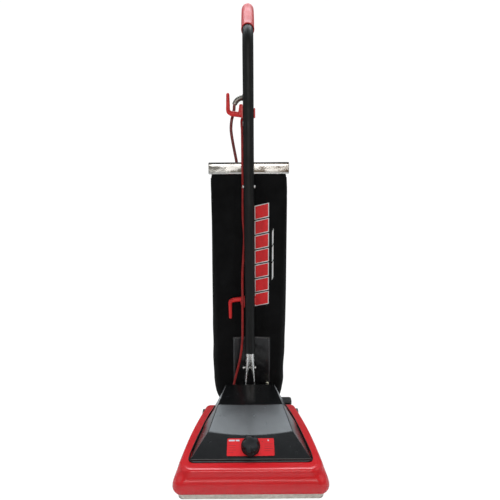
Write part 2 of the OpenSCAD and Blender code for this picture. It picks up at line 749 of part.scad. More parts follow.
module motor_lead_lower() { color("#7a2320") bar(smooth(lead_low_route, 3), lead_d / 2, 10); }
module lead_grommet() {
    color("#1b1b1d") {
        tube_y([-52, 116], 38, 48, 5.9, 3.6);
        tube_y([-52, 116], 47.8, 50.5, 8.5, 3.6);
    }
}

// ---- bag ----
// The four corners of a level slice of the bag, drawn in by t
module bag_slice(z, half, y0, y1, r, t) {
    for (x = [-half + r, half - r], y = [y0 + r, y1 - r])
        translate([x, y, z]) cylinder(r = r - t, h = 1, $fn = hull_fn);
}
module bag_upper_form(t) {
    hull() {
        bag_slice(bag_split + gap - (t > 0 ? 2 : 0), bag_width / 2, bag_front, bag_back, 30, t);
        bag_slice(520, bag_width / 2 - 2, bag_front, bag_front + 75, 20, t);
        bag_slice(clip_height - 3 - 2 * t, bag_width / 2 - 6, bag_front - 4, bag_front + 2, 3, min(t, 2));
    }
}
module bag_lower_form(t) {
    hull() {
        bag_slice(bag_split - 1 + (t > 0 ? 2 : 0), bag_width / 2, bag_front, bag_back, 30, t);
        bag_slice(120, bag_width / 2, bag_front, bag_back, 30, t);
        bag_slice(75 + t, bag_width / 2 - 14, bag_front + 4, bag_back - 12, 28, t);
        bag_slice(46 + t, bag_width / 2 - 45, bag_front + 16, bag_back - 30, 20, t);
    }
}
module bag_upper() {
    hem = bag_width / 2 - 7;
    color("#0d0d0e") {
        difference() {
            bag_upper_form(0);
            bag_upper_form(bag_wall);
        }
        // hem, rolled thicker inside the clip
        block([-hem, clip_y - 0.8, clip_height - 3], [hem, clip_y + 0.8, clip_height + 25]);
        block([-hem, clip_y - 2.5, clip_height + 8], [hem, clip_y + 2.5, clip_height + 26]);
        // tab for the spring, behind the clip
        difference() {
            block([-10, tab_y - 1, 728], [10, tab_y + 1, 793]);
            rod_y([0, 786], tab_y - 5, tab_y + 5, 3);
        }
    }
}
module bag_lower() {
    color("#0d0d0e") difference() {
        union() {
            bag_lower_form(0);
            rod_y(spout_at, 78, bag_front + 3, 26.3);
        }
        bag_lower_form(bag_wall);
        rod_y(spout_at, 70, bag_front + 5, 24.3);
    }
}
module paper_bag_form(t) {
    hull() {
        bag_slice(58 + t, 56, bag_front + 21, bag_back - 37, 15, t);
        bag_slice(90, bag_width / 2 - 18, bag_front + 12, bag_back - 18, 18, t);
        bag_slice(500, bag_width / 2 - 14, bag_front + 8, bag_front + 56, 18, t);
        bag_slice(690 - 5 * t, bag_width / 2 - 16, bag_front + 5, bag_front + 9, 2, t);
    }
}
module paper_bag() {
    color("tan") difference() {
        paper_bag_form(0);
        paper_bag_form(1);
        rod_y(spout_at, bag_front, bag_front + 26, 20);
    }
}
module bag_clamp() {
    color("silver") {
        tube_y(spout_at, 86, 98, 28.4, 26.4);
        difference() {
            block([spout_at[0] - 5, 86, spout_at[1] + 27.6], [spout_at[0] + 5, 98, spout_at[1] + 34]);
            translate([spout_at[0], 92, 0]) cylinder(r = 2.55, h = through);
        }
    }
}
module clamp_screw() {
    color("darkgoldenrod") translate([spout_at[0], 92, spout_at[1]]) {
        translate([0, 0, 28.6]) cylinder(r = 2.5, h = 12);
        translate([0, 0, 36]) cylinder(r = 3.6, h = 3);
        translate([0, 0, 41]) sphere(r = 4);
        translate([0, 0, 38]) cylinder(r = 2.5, h = 6);
    }
}
module bag_clip() {
    jaw = 3.2;
    wall = 0.9;
    color("silver") translate([-clip_half, clip_y, clip_height]) along_x()
        linear_extrude(height = 2 * clip_half) difference() {
            hull() for (a = [-1, 1], b = [3, clip_tall - 3])
                translate([a * (clip_deep / 2 - 3), b]) circle(r = 3);
            hull() for (a = [-1, 1], b = [3, clip_tall - 3])
                translate([a * (clip_deep / 2 - 3), b]) circle(r = 3 - wall);
            translate([-jaw / 2, -1]) square([jaw, 5]);
        }
}
module bag_spring() {
    steps = 8;
    turns = 12;
    low = 794.6;
    high = 872;
    winding = [for (i = [0:turns * steps]) [3.2 * sin(i * 360 / steps), tab_y + 3.2 * cos(i * 360 / steps),
        low + i * (high - low) / (turns * steps)]];
    lower_end = [[0, tab_y - 2, 786.2], [0, tab_y, 784.6], [0, tab_y + 2.6, 786.4]];
    upper_end = [[0, tab_y, high + 5], [0, tab_y - 5, 893], [0, tab_y - 9.3, 903]];
    color("silver") bar(concat(lower_end, winding, upper_end), 0.8, 6);
}

base_frame();
fan_housing();
fan_cover();
exhaust_duct();
sole_plate();
hood();
furniture_guard();
motor_cover();
label_plate();
cover_screws();
motor_housing();
stator();
carbon_brushes();
motor_bearings();
rear_axle();
axle_caps();
pivot_pin();
lead_grommet();
bag_clamp();
clamp_screw();
brush_end_caps();
drive_belt();
supply_cord();
cord_coil();
plug();
bag_lower();
motor_lead_lower();
latch_spring();
handle_fork();
lower_tube();
upper_tube();
tube_bolt();
fork_bolt();
grip();
upper_hook();
lower_hook();
hook_screws();
switch_housing();
cord_relief();
motor_lead_upper();
bag_upper();
paper_bag();
bag_spring();
bag_clip();
switch_rocker();
release_pedal();
brush_core();
bristle_tufts();
armature();
motor_shaft();
commutator();
fan_impeller();
height_knob();
knob_shaft();
front_carriage();
front_axle();
front_wheel_left();
front_wheel_right();
rear_wheel_left();
rear_wheel_right();
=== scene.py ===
"""Looks of the upright vacuum cleaner. Helper functions take millimetres, Blender gets metres."""
import json
import math

import bmesh
import bpy
from mathutils import Matrix, Vector
from mathutils.bvhtree import BVHTree


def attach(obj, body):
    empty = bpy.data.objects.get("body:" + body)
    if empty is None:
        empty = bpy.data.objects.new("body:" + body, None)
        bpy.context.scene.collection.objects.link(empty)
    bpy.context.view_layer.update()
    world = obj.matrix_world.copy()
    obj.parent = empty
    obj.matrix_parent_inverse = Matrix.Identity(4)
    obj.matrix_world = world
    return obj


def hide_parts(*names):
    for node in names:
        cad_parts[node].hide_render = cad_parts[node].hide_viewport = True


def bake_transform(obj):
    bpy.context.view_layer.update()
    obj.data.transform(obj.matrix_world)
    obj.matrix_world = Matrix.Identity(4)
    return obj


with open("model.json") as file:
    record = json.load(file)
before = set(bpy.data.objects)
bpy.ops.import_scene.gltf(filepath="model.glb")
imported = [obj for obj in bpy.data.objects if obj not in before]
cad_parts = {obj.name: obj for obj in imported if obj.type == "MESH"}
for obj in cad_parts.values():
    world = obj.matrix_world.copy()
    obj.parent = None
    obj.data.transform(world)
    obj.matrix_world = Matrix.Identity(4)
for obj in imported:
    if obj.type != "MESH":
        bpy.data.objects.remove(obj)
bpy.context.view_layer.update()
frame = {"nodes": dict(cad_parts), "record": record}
NODES = frame["nodes"]
MM = 0.001
scene = bpy.context.scene


# ---- geometry helpers ----
def spline(points, steps):
    """A smooth line through the points, with that many steps between two of them."""
    p = [Vector(q) for q in points]
    out = []
    for i in range(len(p) - 1):
        a, b, c, d = p[max(i - 1, 0)], p[i], p[i + 1], p[min(i + 2, len(p) - 1)]
        for j in range(steps):
            t = j / steps
            out.append(0.5 * (2 * b + (c - a) * t + (2 * a - 5 * b + 4 * c - d) * t * t
                              + (3 * b - a - 3 * c + d) * t ** 3))
    out.append(p[-1])
    return out


def lerp(a, b, t):
    return a + (b - a) * t


def table_at(rows, x):
    """The row of numbers at x, between the two nearest rows whose first number is x."""
    if x <= rows[0][0]:
        return rows[0][1:]
    for a, b in zip(rows, rows[1:]):
        if x <= b[0]:
            t = (x - a[0]) / (b[0] - a[0])
            return tuple(lerp(p, q, t) for p, q in zip(a[1:], b[1:]))
    return rows[-1][1:]


def off_axis(t):
    """Up, or sideways where the direction t is nearly upright itself."""
    return Vector((0, 0, 1)) if abs(t.z) < 0.9 else Vector((0, 1, 0))


def side_frames(path, first=None):
    """Tangent, side and up at each point of a path, turning as little as possible."""
    out = []
    side = None
    for i in range(len(path)):
        t = (path[min(i + 1, len(path) - 1)] - path[max(i - 1, 0)]).normalized()
        if side is None:
            side = Vector(first) if first else t.cross(off_axis(t))
        side = (side - side.dot(t) * t).normalized()
        out.append((t, side, t.cross(side)))
    return out


def bar_rings(path, radius, n=14, first=None, flat=1.0):
    """Rings of a round bar; radius is a number or a function of the share of the path."""
    rings = []
    last = len(path) - 1
    for i, (p, (_, s, u)) in enumerate(zip(path, side_frames(path, first))):
        r = radius(i / last) if callable(radius) else radius
        rings.append([p + r * (math.cos(k * math.tau / n) * s + flat * math.sin(k * math.tau / n) * u)
                      for k in range(n)])
    return rings


def make(name, verts, faces, material, body=None, slot=None, replaces=(), sharp=40):
    mesh = bpy.data.meshes.new(name)
    mesh.from_pydata([Vector(p) * MM for p in verts], [], faces)
    obj = bpy.data.objects.new(name, mesh)
    scene.collection.objects.link(obj)
    return finish_piece(obj, material, body, replaces, sharp)


def finish_piece(obj, material, body=None, replaces=(), sharp=40):
    mesh = obj.data
    b = bmesh.new()
    b.from_mesh(mesh)
    bmesh.ops.recalc_face_normals(b, faces=b.faces)
    b.to_mesh(mesh)
    b.free()
    mesh.polygons.foreach_set("use_smooth", [True] * len(mesh.polygons))
    if sharp:
        mesh.set_sharp_from_angle(angle=math.radians(sharp))
    mesh.materials.append(material)
    if body:
        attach(obj, body)
    if replaces:
        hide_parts(*replaces)
    return obj


def loft_data(rings, closed=False, caps=True, start=0):
    n = len(rings[0])
    verts = [p for r in rings for p in r]
    faces = []
    count = len(rings)
    for i in range(count if closed else count - 1):
        j = (i + 1) % count
        for k in range(n):
            m = (k + 1) % n
            faces.append([start + i * n + k, start + i * n + m, start + j * n + m, start + j * n + k])
    if caps and not closed:
        faces.append([start + k for k in range(n)])
        faces.append([start + (count - 1) * n + k for k in range(n)])
    return verts, faces


def loft(name, rings, material, closed=False, caps=True, **kw):
    verts, faces = loft_data(rings, closed, caps)
    return make(name, verts, faces, material, **kw)


def many(name, parts, material, **kw):
    """One piece from several lofts, each a list of rings or a (verts, faces) pair."""
    verts, faces = [], []
    for part in parts:
        if isinstance(part, tuple):
            faces += [[len(verts) + i for i in f] for f in part[1]]
            verts += part[0]
        else:
            v, f = loft_data(part, start=len(verts))
            verts += v
            faces += f
    return make(name, verts, faces, material, **kw)


def lathe_rings(profile, at, axis, n=48, wave=None):
    """Rings about an axis through at; profile is (along, radius) pairs, wave(angle, i) scales the radius."""
    axis = Vector(axis).normalized()
    side = axis.cross(off_axis(axis)).normalized()
    up = axis.cross(side)
    at = Vector(at)
    turns = [k * math.tau / n for k in range(n)]
    rings = []
    for i, (h, r) in enumerate(profile):
        rings.append([at + axis * h + (r if wave is None else wave(a, i, r))
                      * (math.cos(a) * side + math.sin(a) * up) for a in turns])
    return rings


def rounded(pairs, radius, steps=5):
    """Rounds the corners of a list of 2-D points by radius."""
    out = [pairs[0]]
    for a, b, c in zip(pairs, pairs[1:], pairs[2:]):
        a, b, c = Vector(a), Vector(b), Vector(c)
        ra = min(radius, (b - a).length * 0.49)
        rc = min(radius, (c - b).length * 0.49)
        p, q = b + (a - b).normalized() * ra, b + (c - b).normalized() * rc
        for i in range(steps + 1):
            t = i / steps
            out.append(tuple(p * (1 - t) ** 2 + b * 2 * t * (1 - t) + q * t * t))
    out.append(pairs[-1])
    return out


def box_part(low, high, bevel=1.0, segments=3):
    """A box with rounded edges, as (verts, faces)."""
    b = bmesh.new()
    bmesh.ops.create_cube(b, size=1)
    for p in b.verts:
        p.co = Vector([lerp(low[i], high[i], p.co[i] + 0.5) for i in range(3)])
    bmesh.ops.bevel(b, geom=b.edges[:], offset=bevel, segments=segments, profile=0.5, affect="EDGES")
    b.verts.index_update()
    out = [p.co.copy() for p in b.verts], [[p.index for p in f.verts] for f in b.faces]
    b.free()
    return out


def moved(part, matrix):
    return [matrix @ Vector(p) for p in part[0]], part[1]


# ---- materials ----
def material(name, color, rough, metallic=0.0, coat=0.0, spots=0.12, spot_size=30, peel=0.0, peel_size=900,
             rough_swing=0.1, stretch=None, weave=0.0, weave_size=1300, sheen=0.0, wear=0.0,
             worn=(0.4, 0.4, 0.4),
             dust=0.0, spec=0.5):
    """A finish with uneven colour, uneven gloss and a fine surface of its own."""
    m = bpy.data.materials.new(name)
    m.use_nodes = True
    tree = m.node_tree
    node, link = tree.nodes.new, tree.links.new
    shader = tree.nodes["Principled BSDF"]
    shader.inputs["Metallic"].default_value = metallic
    shader.inputs["Coat Weight"].default_value = coat
    shader.inputs["Coat Roughness"].default_value = 0.08
    shader.inputs["Sheen Weight"].default_value = sheen
    shader.inputs["Specular IOR Level"].default_value = spec
    where = node("ShaderNodeTexCoord")
    mapping = node("ShaderNodeMapping")
    mapping.inputs["Scale"].default_value = stretch or (1, 1, 1)
    link(where.outputs["Object"], mapping.inputs["Vector"])

    def noise(scale, detail=4.0, mapped=True):
        n = node("ShaderNodeTexNoise")
        n.inputs["Scale"].default_value = scale
        n.inputs["Detail"].default_value = detail
        link((mapping if mapped else where).outputs["Vector" if mapped else "Object"], n.inputs["Vector"])
        return n.outputs["Fac"]

    def ramp(value, low, high, to_low, to_high):
        r = node("ShaderNodeMapRange")
        for key, x in (("From Min", low), ("From Max", high), ("To Min", to_low), ("To Max", to_high)):
            r.inputs[key].default_value = x
        link(value, r.inputs["Value"])
        return r.outputs["Result"]

    def mix(fac, a, b, mode="MIX"):
        x = node("ShaderNodeMix")
        x.data_type = "RGBA"
        x.blend_type = mode
        for socket, value in ((x.inputs["Factor"], fac), (x.inputs["A"], a), (x.inputs["B"], b)):
            if isinstance(value, bpy.types.NodeSocket):
                link(value, socket)
            elif isinstance(value, (int, float)):
                socket.default_value = value
            else:
                socket.default_value = (*value, 1)
        return x.outputs["Result"]

    patch = ramp(noise(spot_size, 5), 0.35, 0.65, 0, 1)
    tint = mix(patch, [c * (1 - spots) for c in color], [min(1, c * (1 + spots)) for c in color])
    rough_map = ramp(noise(spot_size * 2.3, 6), 0.3, 0.7, max(0.02, rough * (1 - rough_swing * 2)),
                     min(1, rough * (1 + rough_swing * 2)))
    height = None
    if peel:
        height = noise(peel_size, 3)
    if weave:
        waves = []
        for direction in ("X", "Z"):
            w = node("ShaderNodeTexWave")
            w.wave_type = "BANDS"
            w.bands_direction = direction
            w.inputs["Scale"].default_value = weave_size
            w.inputs["Distortion"].default_value = 0.6
            w.inputs["Detail"].default_value = 1
            w.inputs["Detail Scale"].default_value = 0.4
            link(where.outputs["Object"], w.inputs["Vector"])
            waves.append(w.outputs["Fac"])
        add = node("ShaderNodeMath")
        add.operation = "MAXIMUM"
        link(waves[0], add.inputs[0])
        link(waves[1], add.inputs[1])
        height = add.outputs["Value"]
        tint = mix(ramp(height, 0, 1, 0.55, 0), tint, [c * 0.35 for c in color])
    if wear:
        geometry = node("ShaderNodeNewGeometry")
        edge = ramp(geometry.outputs["Pointiness"], 0.53, 0.6, 0, wear)
        broken = node("ShaderNodeMath")
        broken.operation = "MULTIPLY"
        link(edge, broken.inputs[0])
        link(ramp(noise(220, 6, False), 0.45, 0.6, 0, 1), broken.inputs[1])
        tint = mix(broken.outputs["Value"], tint, worn)
    if dust:
        split = node("ShaderNodeSeparateXYZ")
        link(where.outputs["Object"], split.inputs["Vector"])
        low = ramp(split.outputs["Z"], 0.0, 0.06, dust, 0)
        grime = node("ShaderNodeMath")
        grime.operation = "MULTIPLY"
        link(low, grime.inputs[0])
        link(ramp(noise(90, 8, False), 0.4, 0.65, 0, 1), grime.inputs[1])
        tint = mix(grime.outputs["Value"], tint, (0.35, 0.31, 0.26))
    link(tint, shader.inputs["Base Color"])
    link(rough_map, shader.inputs["Roughness"])
    if height is not None:
        bump = node("ShaderNodeBump")
        bump.inputs["Strength"].default_value = max(peel, weave)
        bump.inputs["Distance"].default_value = 0.0004
        link(height, bump.inputs["Height"])
        link(bump.outputs["Normal"], shader.inputs["Normal"])
    return m


HOOD = material("hood_red_gloss", (0.72, 0.014, 0.02), 0.23, coat=0.35, spots=0.03, peel=0.03, peel_size=120,
                spec=0.4, rough_swing=0.05, wear=0.12, worn=(0.75, 0.2, 0.18), dust=0.12)
COVER = material("cover_black_gloss", (0.005, 0.0053, 0.0056), 0.25, coat=0.1, spots=0.12, peel=0.02,
                 peel_size=60, rough_swing=0.05)
GUARD = material("guard_pale", (0.76, 0.71, 0.63), 0.6, spots=0.1, peel=0.25, peel_size=1400, dust=0.5)
LABEL = material("label_red", (0.78, 0.014, 0.02), 0.4, spec=0.3, spots=0.05, peel=0.05, peel_size=900)
LABEL_MARK = material("label_mark", (0.22, 0.008, 0.01), 0.4, spots=0.2)
LABEL_PALE = material("label_pale", (0.62, 0.62, 0.68), 0.4, spots=0.1)
BLACK = material("moulded_black", (0.012, 0.012, 0.0125), 0.42, spots=0.3, peel=0.35, peel_size=1800, wear=0.2,
                 worn=(0.09, 0.09, 0.09))
KNOB_FINISH = material("knob_black", (0.004, 0.004, 0.0045), 0.4, spec=0.35, spots=0.3,
                       peel=0.2, peel_size=1500)
HOOKS = material("hook_red", (0.72, 0.02, 0.02), 0.4, spec=0.35, spots=0.08, peel=0.12,
                 peel_size=700, wear=0.4, worn=(0.75, 0.22, 0.2))
GRIP = material("grip_red", (0.55, 0.018, 0.018), 0.5, spec=0.35, spots=0.1, peel=0.25, peel_size=1100, wear=0.2,
                worn=(0.6, 0.12, 0.1))
TUBE = material("tube_black_satin", (0.0065, 0.0072, 0.0068), 0.46, spec=0.26, spots=0.18, peel=0.16, peel_size=1900,
                spot_size=14)
STEEL = material("polished_steel", (0.74, 0.72, 0.68), 0.13, metallic=1, spots=0.14, spot_size=40, peel=0.06,
                 peel_size=500, rough_swing=0.35, stretch=(0.25, 1, 1))
CHROME = material("chromed_steel", (0.8, 0.79, 0.76), 0.26, metallic=1, spots=0.08, spot_size=50, peel=0.02,
                  peel_size=600, rough_swing=0.12)
ZINC = material("zinc_steel", (0.58, 0.58, 0.56), 0.3, metallic=1, spots=0.15, spot_size=160, peel=0.12,
                peel_size=1500, rough_swing=0.25)
CLIP_STEEL = material("clip_steel", (0.7, 0.68, 0.64), 0.2, metallic=1, spots=0.3, spot_size=26, peel=0.1, peel_size=420,
                      rough_swing=0.4, stretch=(0.5, 1, 1))
CLIP_SEAM = material("clip_seam", (0.1, 0.1, 0.1), 0.5, metallic=1, spots=0.3, spot_size=60,
                     peel=0.2, peel_size=900)
SPRING = material("spring_steel", (0.33, 0.32, 0.29), 0.3, metallic=1, spots=0.25, spot_size=200, peel=0.1,
                  peel_size=1500)
BRASS = material("brass", (0.9, 0.83, 0.64), 0.26, metallic=1, spots=0.2, spot_size=200, peel=0.1,
                 peel_size=1500)
CAST = material("cast_aluminium", (0.34, 0.35, 0.36), 0.5, metallic=1, spots=0.15, peel=0.5, peel_size=1200)
PRESSED = material("pressed_steel", (0.2, 0.21, 0.22), 0.45, metallic=0.6, spots=0.15, peel=0.2)
COPPER = material("copper_winding", (0.66, 0.3, 0.14), 0.35, metallic=1, spots=0.25, peel=0.5, peel_size=900,
                  stretch=(1, 0.1, 1))
CORD = material("cord_red", (0.17, 0.017, 0.015), 0.4, spots=0.2, spot_size=60, peel=0.12, peel_size=1500)
LEAD = material("lead_red", (0.34, 0.016, 0.014), 0.45, spec=0.35, spots=0.2, spot_size=60,
                peel=0.12, peel_size=1500)
RUBBER = material("wheel_rubber", (0.018, 0.018, 0.018), 0.6, spots=0.3, peel=0.5, peel_size=1300, dust=0.6)
BELT = material("belt_rubber", (0.03, 0.028, 0.026), 0.7, spots=0.2, peel=0.6, peel_size=1600)
WOOD = material("turned_wood", (0.42, 0.25, 0.11), 0.5, spots=0.35, spot_size=60, peel=0.3, peel_size=300,
                stretch=(0.08, 1, 1))
BRISTLE = material("bristle", (0.03, 0.03, 0.03), 0.5, spots=0.4, peel=0.8, peel_size=2500)
CLOTH = material("bag_cloth", (0.0052, 0.0054, 0.0058), 0.88, spec=0.12, spots=0.25, spot_size=18, weave=0.5,
                 weave_size=420, sheen=0.05, rough_swing=0.05)
VINYL = material("patch_vinyl", (0.010, 0.010, 0.011), 0.33, coat=0.2, spots=0.3, spot_size=40, peel=0.5,
                 peel_size=420)
THREAD = material("thread", (0.16, 0.16, 0.165), 0.7, spots=0.3, peel=0.6, peel_size=3000)
PRINT_RED = material("print_red", (0.95, 0.016, 0.02), 0.6, spots=0.12, spot_size=60,
                     weave=0.25, weave_size=420)
PRINT_WHITE = material("print_white", (0.92, 0.92, 0.92), 0.6, spots=0.08, spot_size=60, weave=0.25,
                       weave_size=420)
PAPER = material("filter_paper", (0.55, 0.42, 0.27), 0.85, spots=0.15, peel=0.6, peel_size=700)

FINISH = {"hood_red": HOOD, "cover_black": COVER, "guard_pale": GUARD, "label_red": LABEL,
          "black_plastic": BLACK, "hook_red": HOOKS, "grip_red": GRIP, "tube_black": TUBE,
          "polished_steel": STEEL, "bright_steel": ZINC, "brass": BRASS, "cast_metal": CAST,
          "motor_steel": PRESSED, "copper": COPPER, "cord_red": CORD, "wheel_black": RUBBER,
          "belt_rubber": BELT, "brush_wood": WOOD, "bristle": BRISTLE, "bag_cloth": CLOTH, "paper": PAPER}

# every CAD node gets its finish, and smooth shading that keeps its real edges
for part in frame["record"]["subparts"]:
    obj = NODES[part["node"]]
    obj.data.materials.clear()
    obj.data.materials.append(FINISH[part["material_slot"]])
    obj.data.polygons.foreach_set("use_smooth", [True] * len(obj.data.polygons))
    weld = obj.modifiers.new("weld", "WELD")
    weld.merge_threshold = 2e-5
    split = obj.modifiers.new("edges", "EDGE_SPLIT")
    split.split_angle = math.radians(30)
    weighted = obj.modifiers.new("weighted", "WEIGHTED_NORMAL")
    weighted.keep_sharp = True

# ---- camera ----
camera = bpy.data.objects.new("camera", bpy.data.cameras.new("camera"))
scene.collection.objects.link(camera)
camera.data.lens = 25.2
camera.data.sensor_width = 36
camera.data.clip_end = 50
camera.data.shift_x = 0.001
CAMERA_AT = (0.0006, -0.8805, 0.729)
CAMERA_PITCH = math.radians(79)
CAMERA_ROLL = math.radians(-0.4)
camera.matrix_world = (Matrix.Translation(CAMERA_AT) @ Matrix.Rotation(CAMERA_PITCH, 4, "X")
                       @ Matrix.Rotation(CAMERA_ROLL, 4, "Z"))
scene.camera = camera

# ---- supply cord: relief, hanging part, floor, coil, tail ----
RELIEF_R = 24.6


def relief_point(angle):
    """A point of the quarter round in which the cord leaves the switch."""
    a = math.radians(angle)
    return (-13.4 - RELIEF_R * math.sin(a), 119, 951 - RELIEF_R * (1 - math.cos(a)))


RELIEF_ROUTE = [relief_point(a) for a in (0, 15, 30, 45, 60, 72)]
CORD_ROUTE = [relief_point(82), (-38.5, 119, 920), (-41, 119, 909), (-45.5, 119, 893), (-47.5, 119, 870),
              (-44.5, 119, 844), (-39, 120.5, 813), (-33.5, 123.5, 782), (-31, 128, 748), (-30, 138, 705),
              (-30, 156, 645), (-30, 176.5, 580), (-30, 195.5, 520), (-30, 202, 420), (-31, 208.5, 320),
              (-32, 213, 240), (-34, 214.5, 160), (-36, 215, 95), (-38, 219, 52), (-41, 231, 20),
              (-46, 252, 7.4), (-53, 280, 4.5), (-63, 318, 4.3), (-76, 365, 4.1), (-86, 410, 4.1),
              (-89, 446, 4.1)]
CORD_TAIL = [(-46.5, 462, 26), (-43, 476, 30.5), (-34, 493, 35), (-20, 504, 38), (-3, 509, 38.5)]
COIL_AT = (0, 446)
COIL_PITCH = 8.4
COLUMNS, LAYERS, PER_TURN = 6, 3, 40


def coil_points():
    """The coil's turns, each at its own radius, with the step to the next one within a sixth of a turn."""
    radii = [68 + (i - 2.5) * COIL_PITCH for i in range(COLUMNS)][::-1]
    turns = []
    for layer in range(LAYERS):
        turns += [(r, 4 + layer * COIL_PITCH) for r in (radii if layer % 2 == 0 else radii[::-1])]
    turns.append(turns[-1])
    points = []
    for i in range(COLUMNS * LAYERS):
        for k in range(PER_TURN):
            share = k / PER_TURN
            t = max(0, (share - 5 / 6) * 6)
            t = t * t * (3 - 2 * t)
            r = lerp(turns[i][0], turns[i + 1][0], t)
            z = lerp(turns[i][1], turns[i + 1][1], t)
            a = math.pi - share * math.tau
            points.append(Vector((COIL_AT[0] + r * math.cos(a), COIL_AT[1] + r * math.sin(a), z)))
    return points


relief_line = spline(RELIEF_ROUTE, 6)
hang_line = spline(RELIEF_ROUTE[-2:] + CORD_ROUTE, 6)[6:]
coil_line = coil_points()
tail_line = spline([coil_line[-1]] + CORD_TAIL, 6)[1:]
cord_line = relief_line[:-1] + hang_line + coil_line[1:] + tail_line
supply = loft("supply_cord_run", bar_rings(cord_line, 4, 12), CORD, slot="cord_red",
              replaces=("supply_cord", "cord_coil"))
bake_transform(supply)

# sprung relief: a close coil of wire about the cord, from a collar on the switch housing
wire = []
relief_frames = side_frames(relief_line)
turns_total = 15
for i in range(turns_total * 14 + 1):
    share = i / (turns_total * 14)
    f = share * (len(relief_line) - 1)
    a, t = min(int(f), len(relief_line) - 2), f - min(int(f), len(relief_line) - 2)
    p = relief_line[a].lerp(relief_line[a + 1], t)
    s = relief_frames[a][1].lerp(relief_frames[a + 1][1], t)
    u = relief_frames[a][2].lerp(relief_frames[a + 1][2], t)
    r = lerp(6.4, 5.5, share)
    wire.append(p + r * (math.cos(i * math.tau / 14) * s + math.sin(i * math.tau / 14) * u))
relief = many("cord_relief_spring", [bar_rings(wire, 1.2, 7)], SPRING, body="handle", slot="polished_steel",
              replaces=("cord_relief",))
collar = many("cord_relief_collar", [lathe_rings(rounded([(-0.2, 3), (-0.2, 8.5), (-2.6, 8.2), (-3.4, 6.9),
              (-3.4, 4.1)], 1), (-13, 119, 951), (1, 0, 0), 32)], BLACK, body="handle", slot="black_plastic")

# plug with its own ribbed relief, two blades and a ground pin
plug_at = Vector((0, 509, 38.5))


def super_ring(x, half_y, half_z, power=3.2, n=40):
    ring = []
    for k in range(n):
        c, s = math.cos(k * math.tau / n), math.sin(k * math.tau / n)
        ring.append(plug_at + Vector((x, math.copysign(abs(c) ** (2 / power), c) * half_y,
                                      math.copysign(abs(s) ** (2 / power), s) * half_z)))
    return ring


body_rings = [super_ring(x, y, z) for x, y, z in (
    (2.2, 6.2, 6.2), (2.4, 7.2, 7.4), (4, 7.9, 8), (8, 9.8, 9.6), (11, 11.2, 10.8), (12.2, 10.6, 10.2),
    (13.4, 11.6, 11.1), (15, 12.9, 12.1), (16.2, 12.2, 11.6), (17.4, 13.1, 12.4), (21, 13.8, 12.9),
    (28, 13.9, 13), (29.6, 13.4, 12.5), (30, 12.4, 11.6))]
sleeve = [lathe_rings([(x, 4.2 + 2.2 * (x + 9) / 11 + (0.45 if i % 2 else 0)) for i, x in
                       enumerate([-9 + 0.9 * k for k in range(13)])], plug_at, (1, 0, 0), 24)]
plug = many("plug_body", [body_rings] + sleeve, BLACK, slot="black_plastic", replaces=("plug",))
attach(plug, "base")
blades = [moved(box_part((29.5, y - 0.75, 0), (48.2, y + 0.75, 6.35), 0.4, 2), Matrix.Translation(plug_at))
          for y in (-6.35, 6.35)]
pin = lathe_rings([(29.5, 2.38), (48.4, 2.38), (49.4, 1.9), (49.9, 1.0)], plug_at + Vector((0, 0, -8.725)),
                  (1, 0, 0), 20)
pins = many("plug_pins", blades + [pin], BRASS, body="base", slot="brass")

# the tie that holds the coil: a flat strap round all its turns
angle = math.radians(35)
across = Vector((-math.sin(angle), math.cos(angle), 0))
strap_rings = []
for r, z in rounded([(42.2, 0.7), (42.2, 25.9), (93.8, 25.9), (93.8, 0.7)], 3, 4):
    out = Vector((math.cos(angle), math.sin(angle), 0))
    p = Vector((COIL_AT[0], COIL_AT[1], 0)) + out * r + Vector((0, 0, z))
    mid = Vector((COIL_AT[0], COIL_AT[1], 0)) + out * 68 + Vector((0, 0, 12.6))
    n = (p - mid).normalized()
    strap_rings.append([p - across * 6 - n * 0.6, p + across * 6 - n * 0.6, p + across * 6 + n * 0.4,
                        p - across * 6 + n * 0.4])
tie = loft("coil_tie", strap_rings, BLACK, closed=False, body="base", slot="black_plastic")

# ---- lead from the switch to the motor ----
LEAD_ROUTE = [(-8, 116, 927.7), (-8.2, 116, 921), (-13.5, 114.5, 905), (-17.8, 108, 892), (-18, 101, 877),
              (-17, 98.3, 858), (-17, 98.3, 780), (-16.8, 98.8, 750), (-16.3, 100.3, 724), (-16.3, 100.3, 707),
              (-16.8, 98.8, 680), (-17, 99.5, 630), (-14.5, 103.5, 590), (-14.5, 103.5, 560), (-17, 100, 520),
              (-20, 90, 470), (-20.5, 87, 400), (-21, 87, 330), (-22, 88, 280), (-25, 90, 240),
              (-28.5, 90.5, 215), (-35, 88.5, 185), (-43, 82.5, 155), (-48.5, 75.5, 135), (-51, 69, 121.5),
              (-52, 60, 116), (-52, 52, 116), (-52, 42, 116)]
lead = loft("motor_lead_run", bar_rings(spline(LEAD_ROUTE, 6), 3.5, 12), LEAD, slot="cord_red",
            replaces=("motor_lead_upper", "motor_lead_lower"))
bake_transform(lead)

# ---- dust bag ----
BAG_SLICES = [(46, 97, 127, 182, 26), (58, 101, 122, 188, 27), (75, 105.5, 117.5, 195, 28),
              (98, 109, 114.8, 202, 29), (121, 112, 113.6, 206.5, 30), (250, 112.5, 113.6, 206.5, 30),
              (520, 109, 113.6, 188.5, 20), (640, 106.4, 112.4, 150.5, 11), (700, 105, 110.8, 130, 5.5),
              (735, 104.3, 110.2, 118.4, 3.2), (747, 104, 110, 115, 2.4)]
FRONT, CORNER, SIDE = 26, 7, 9


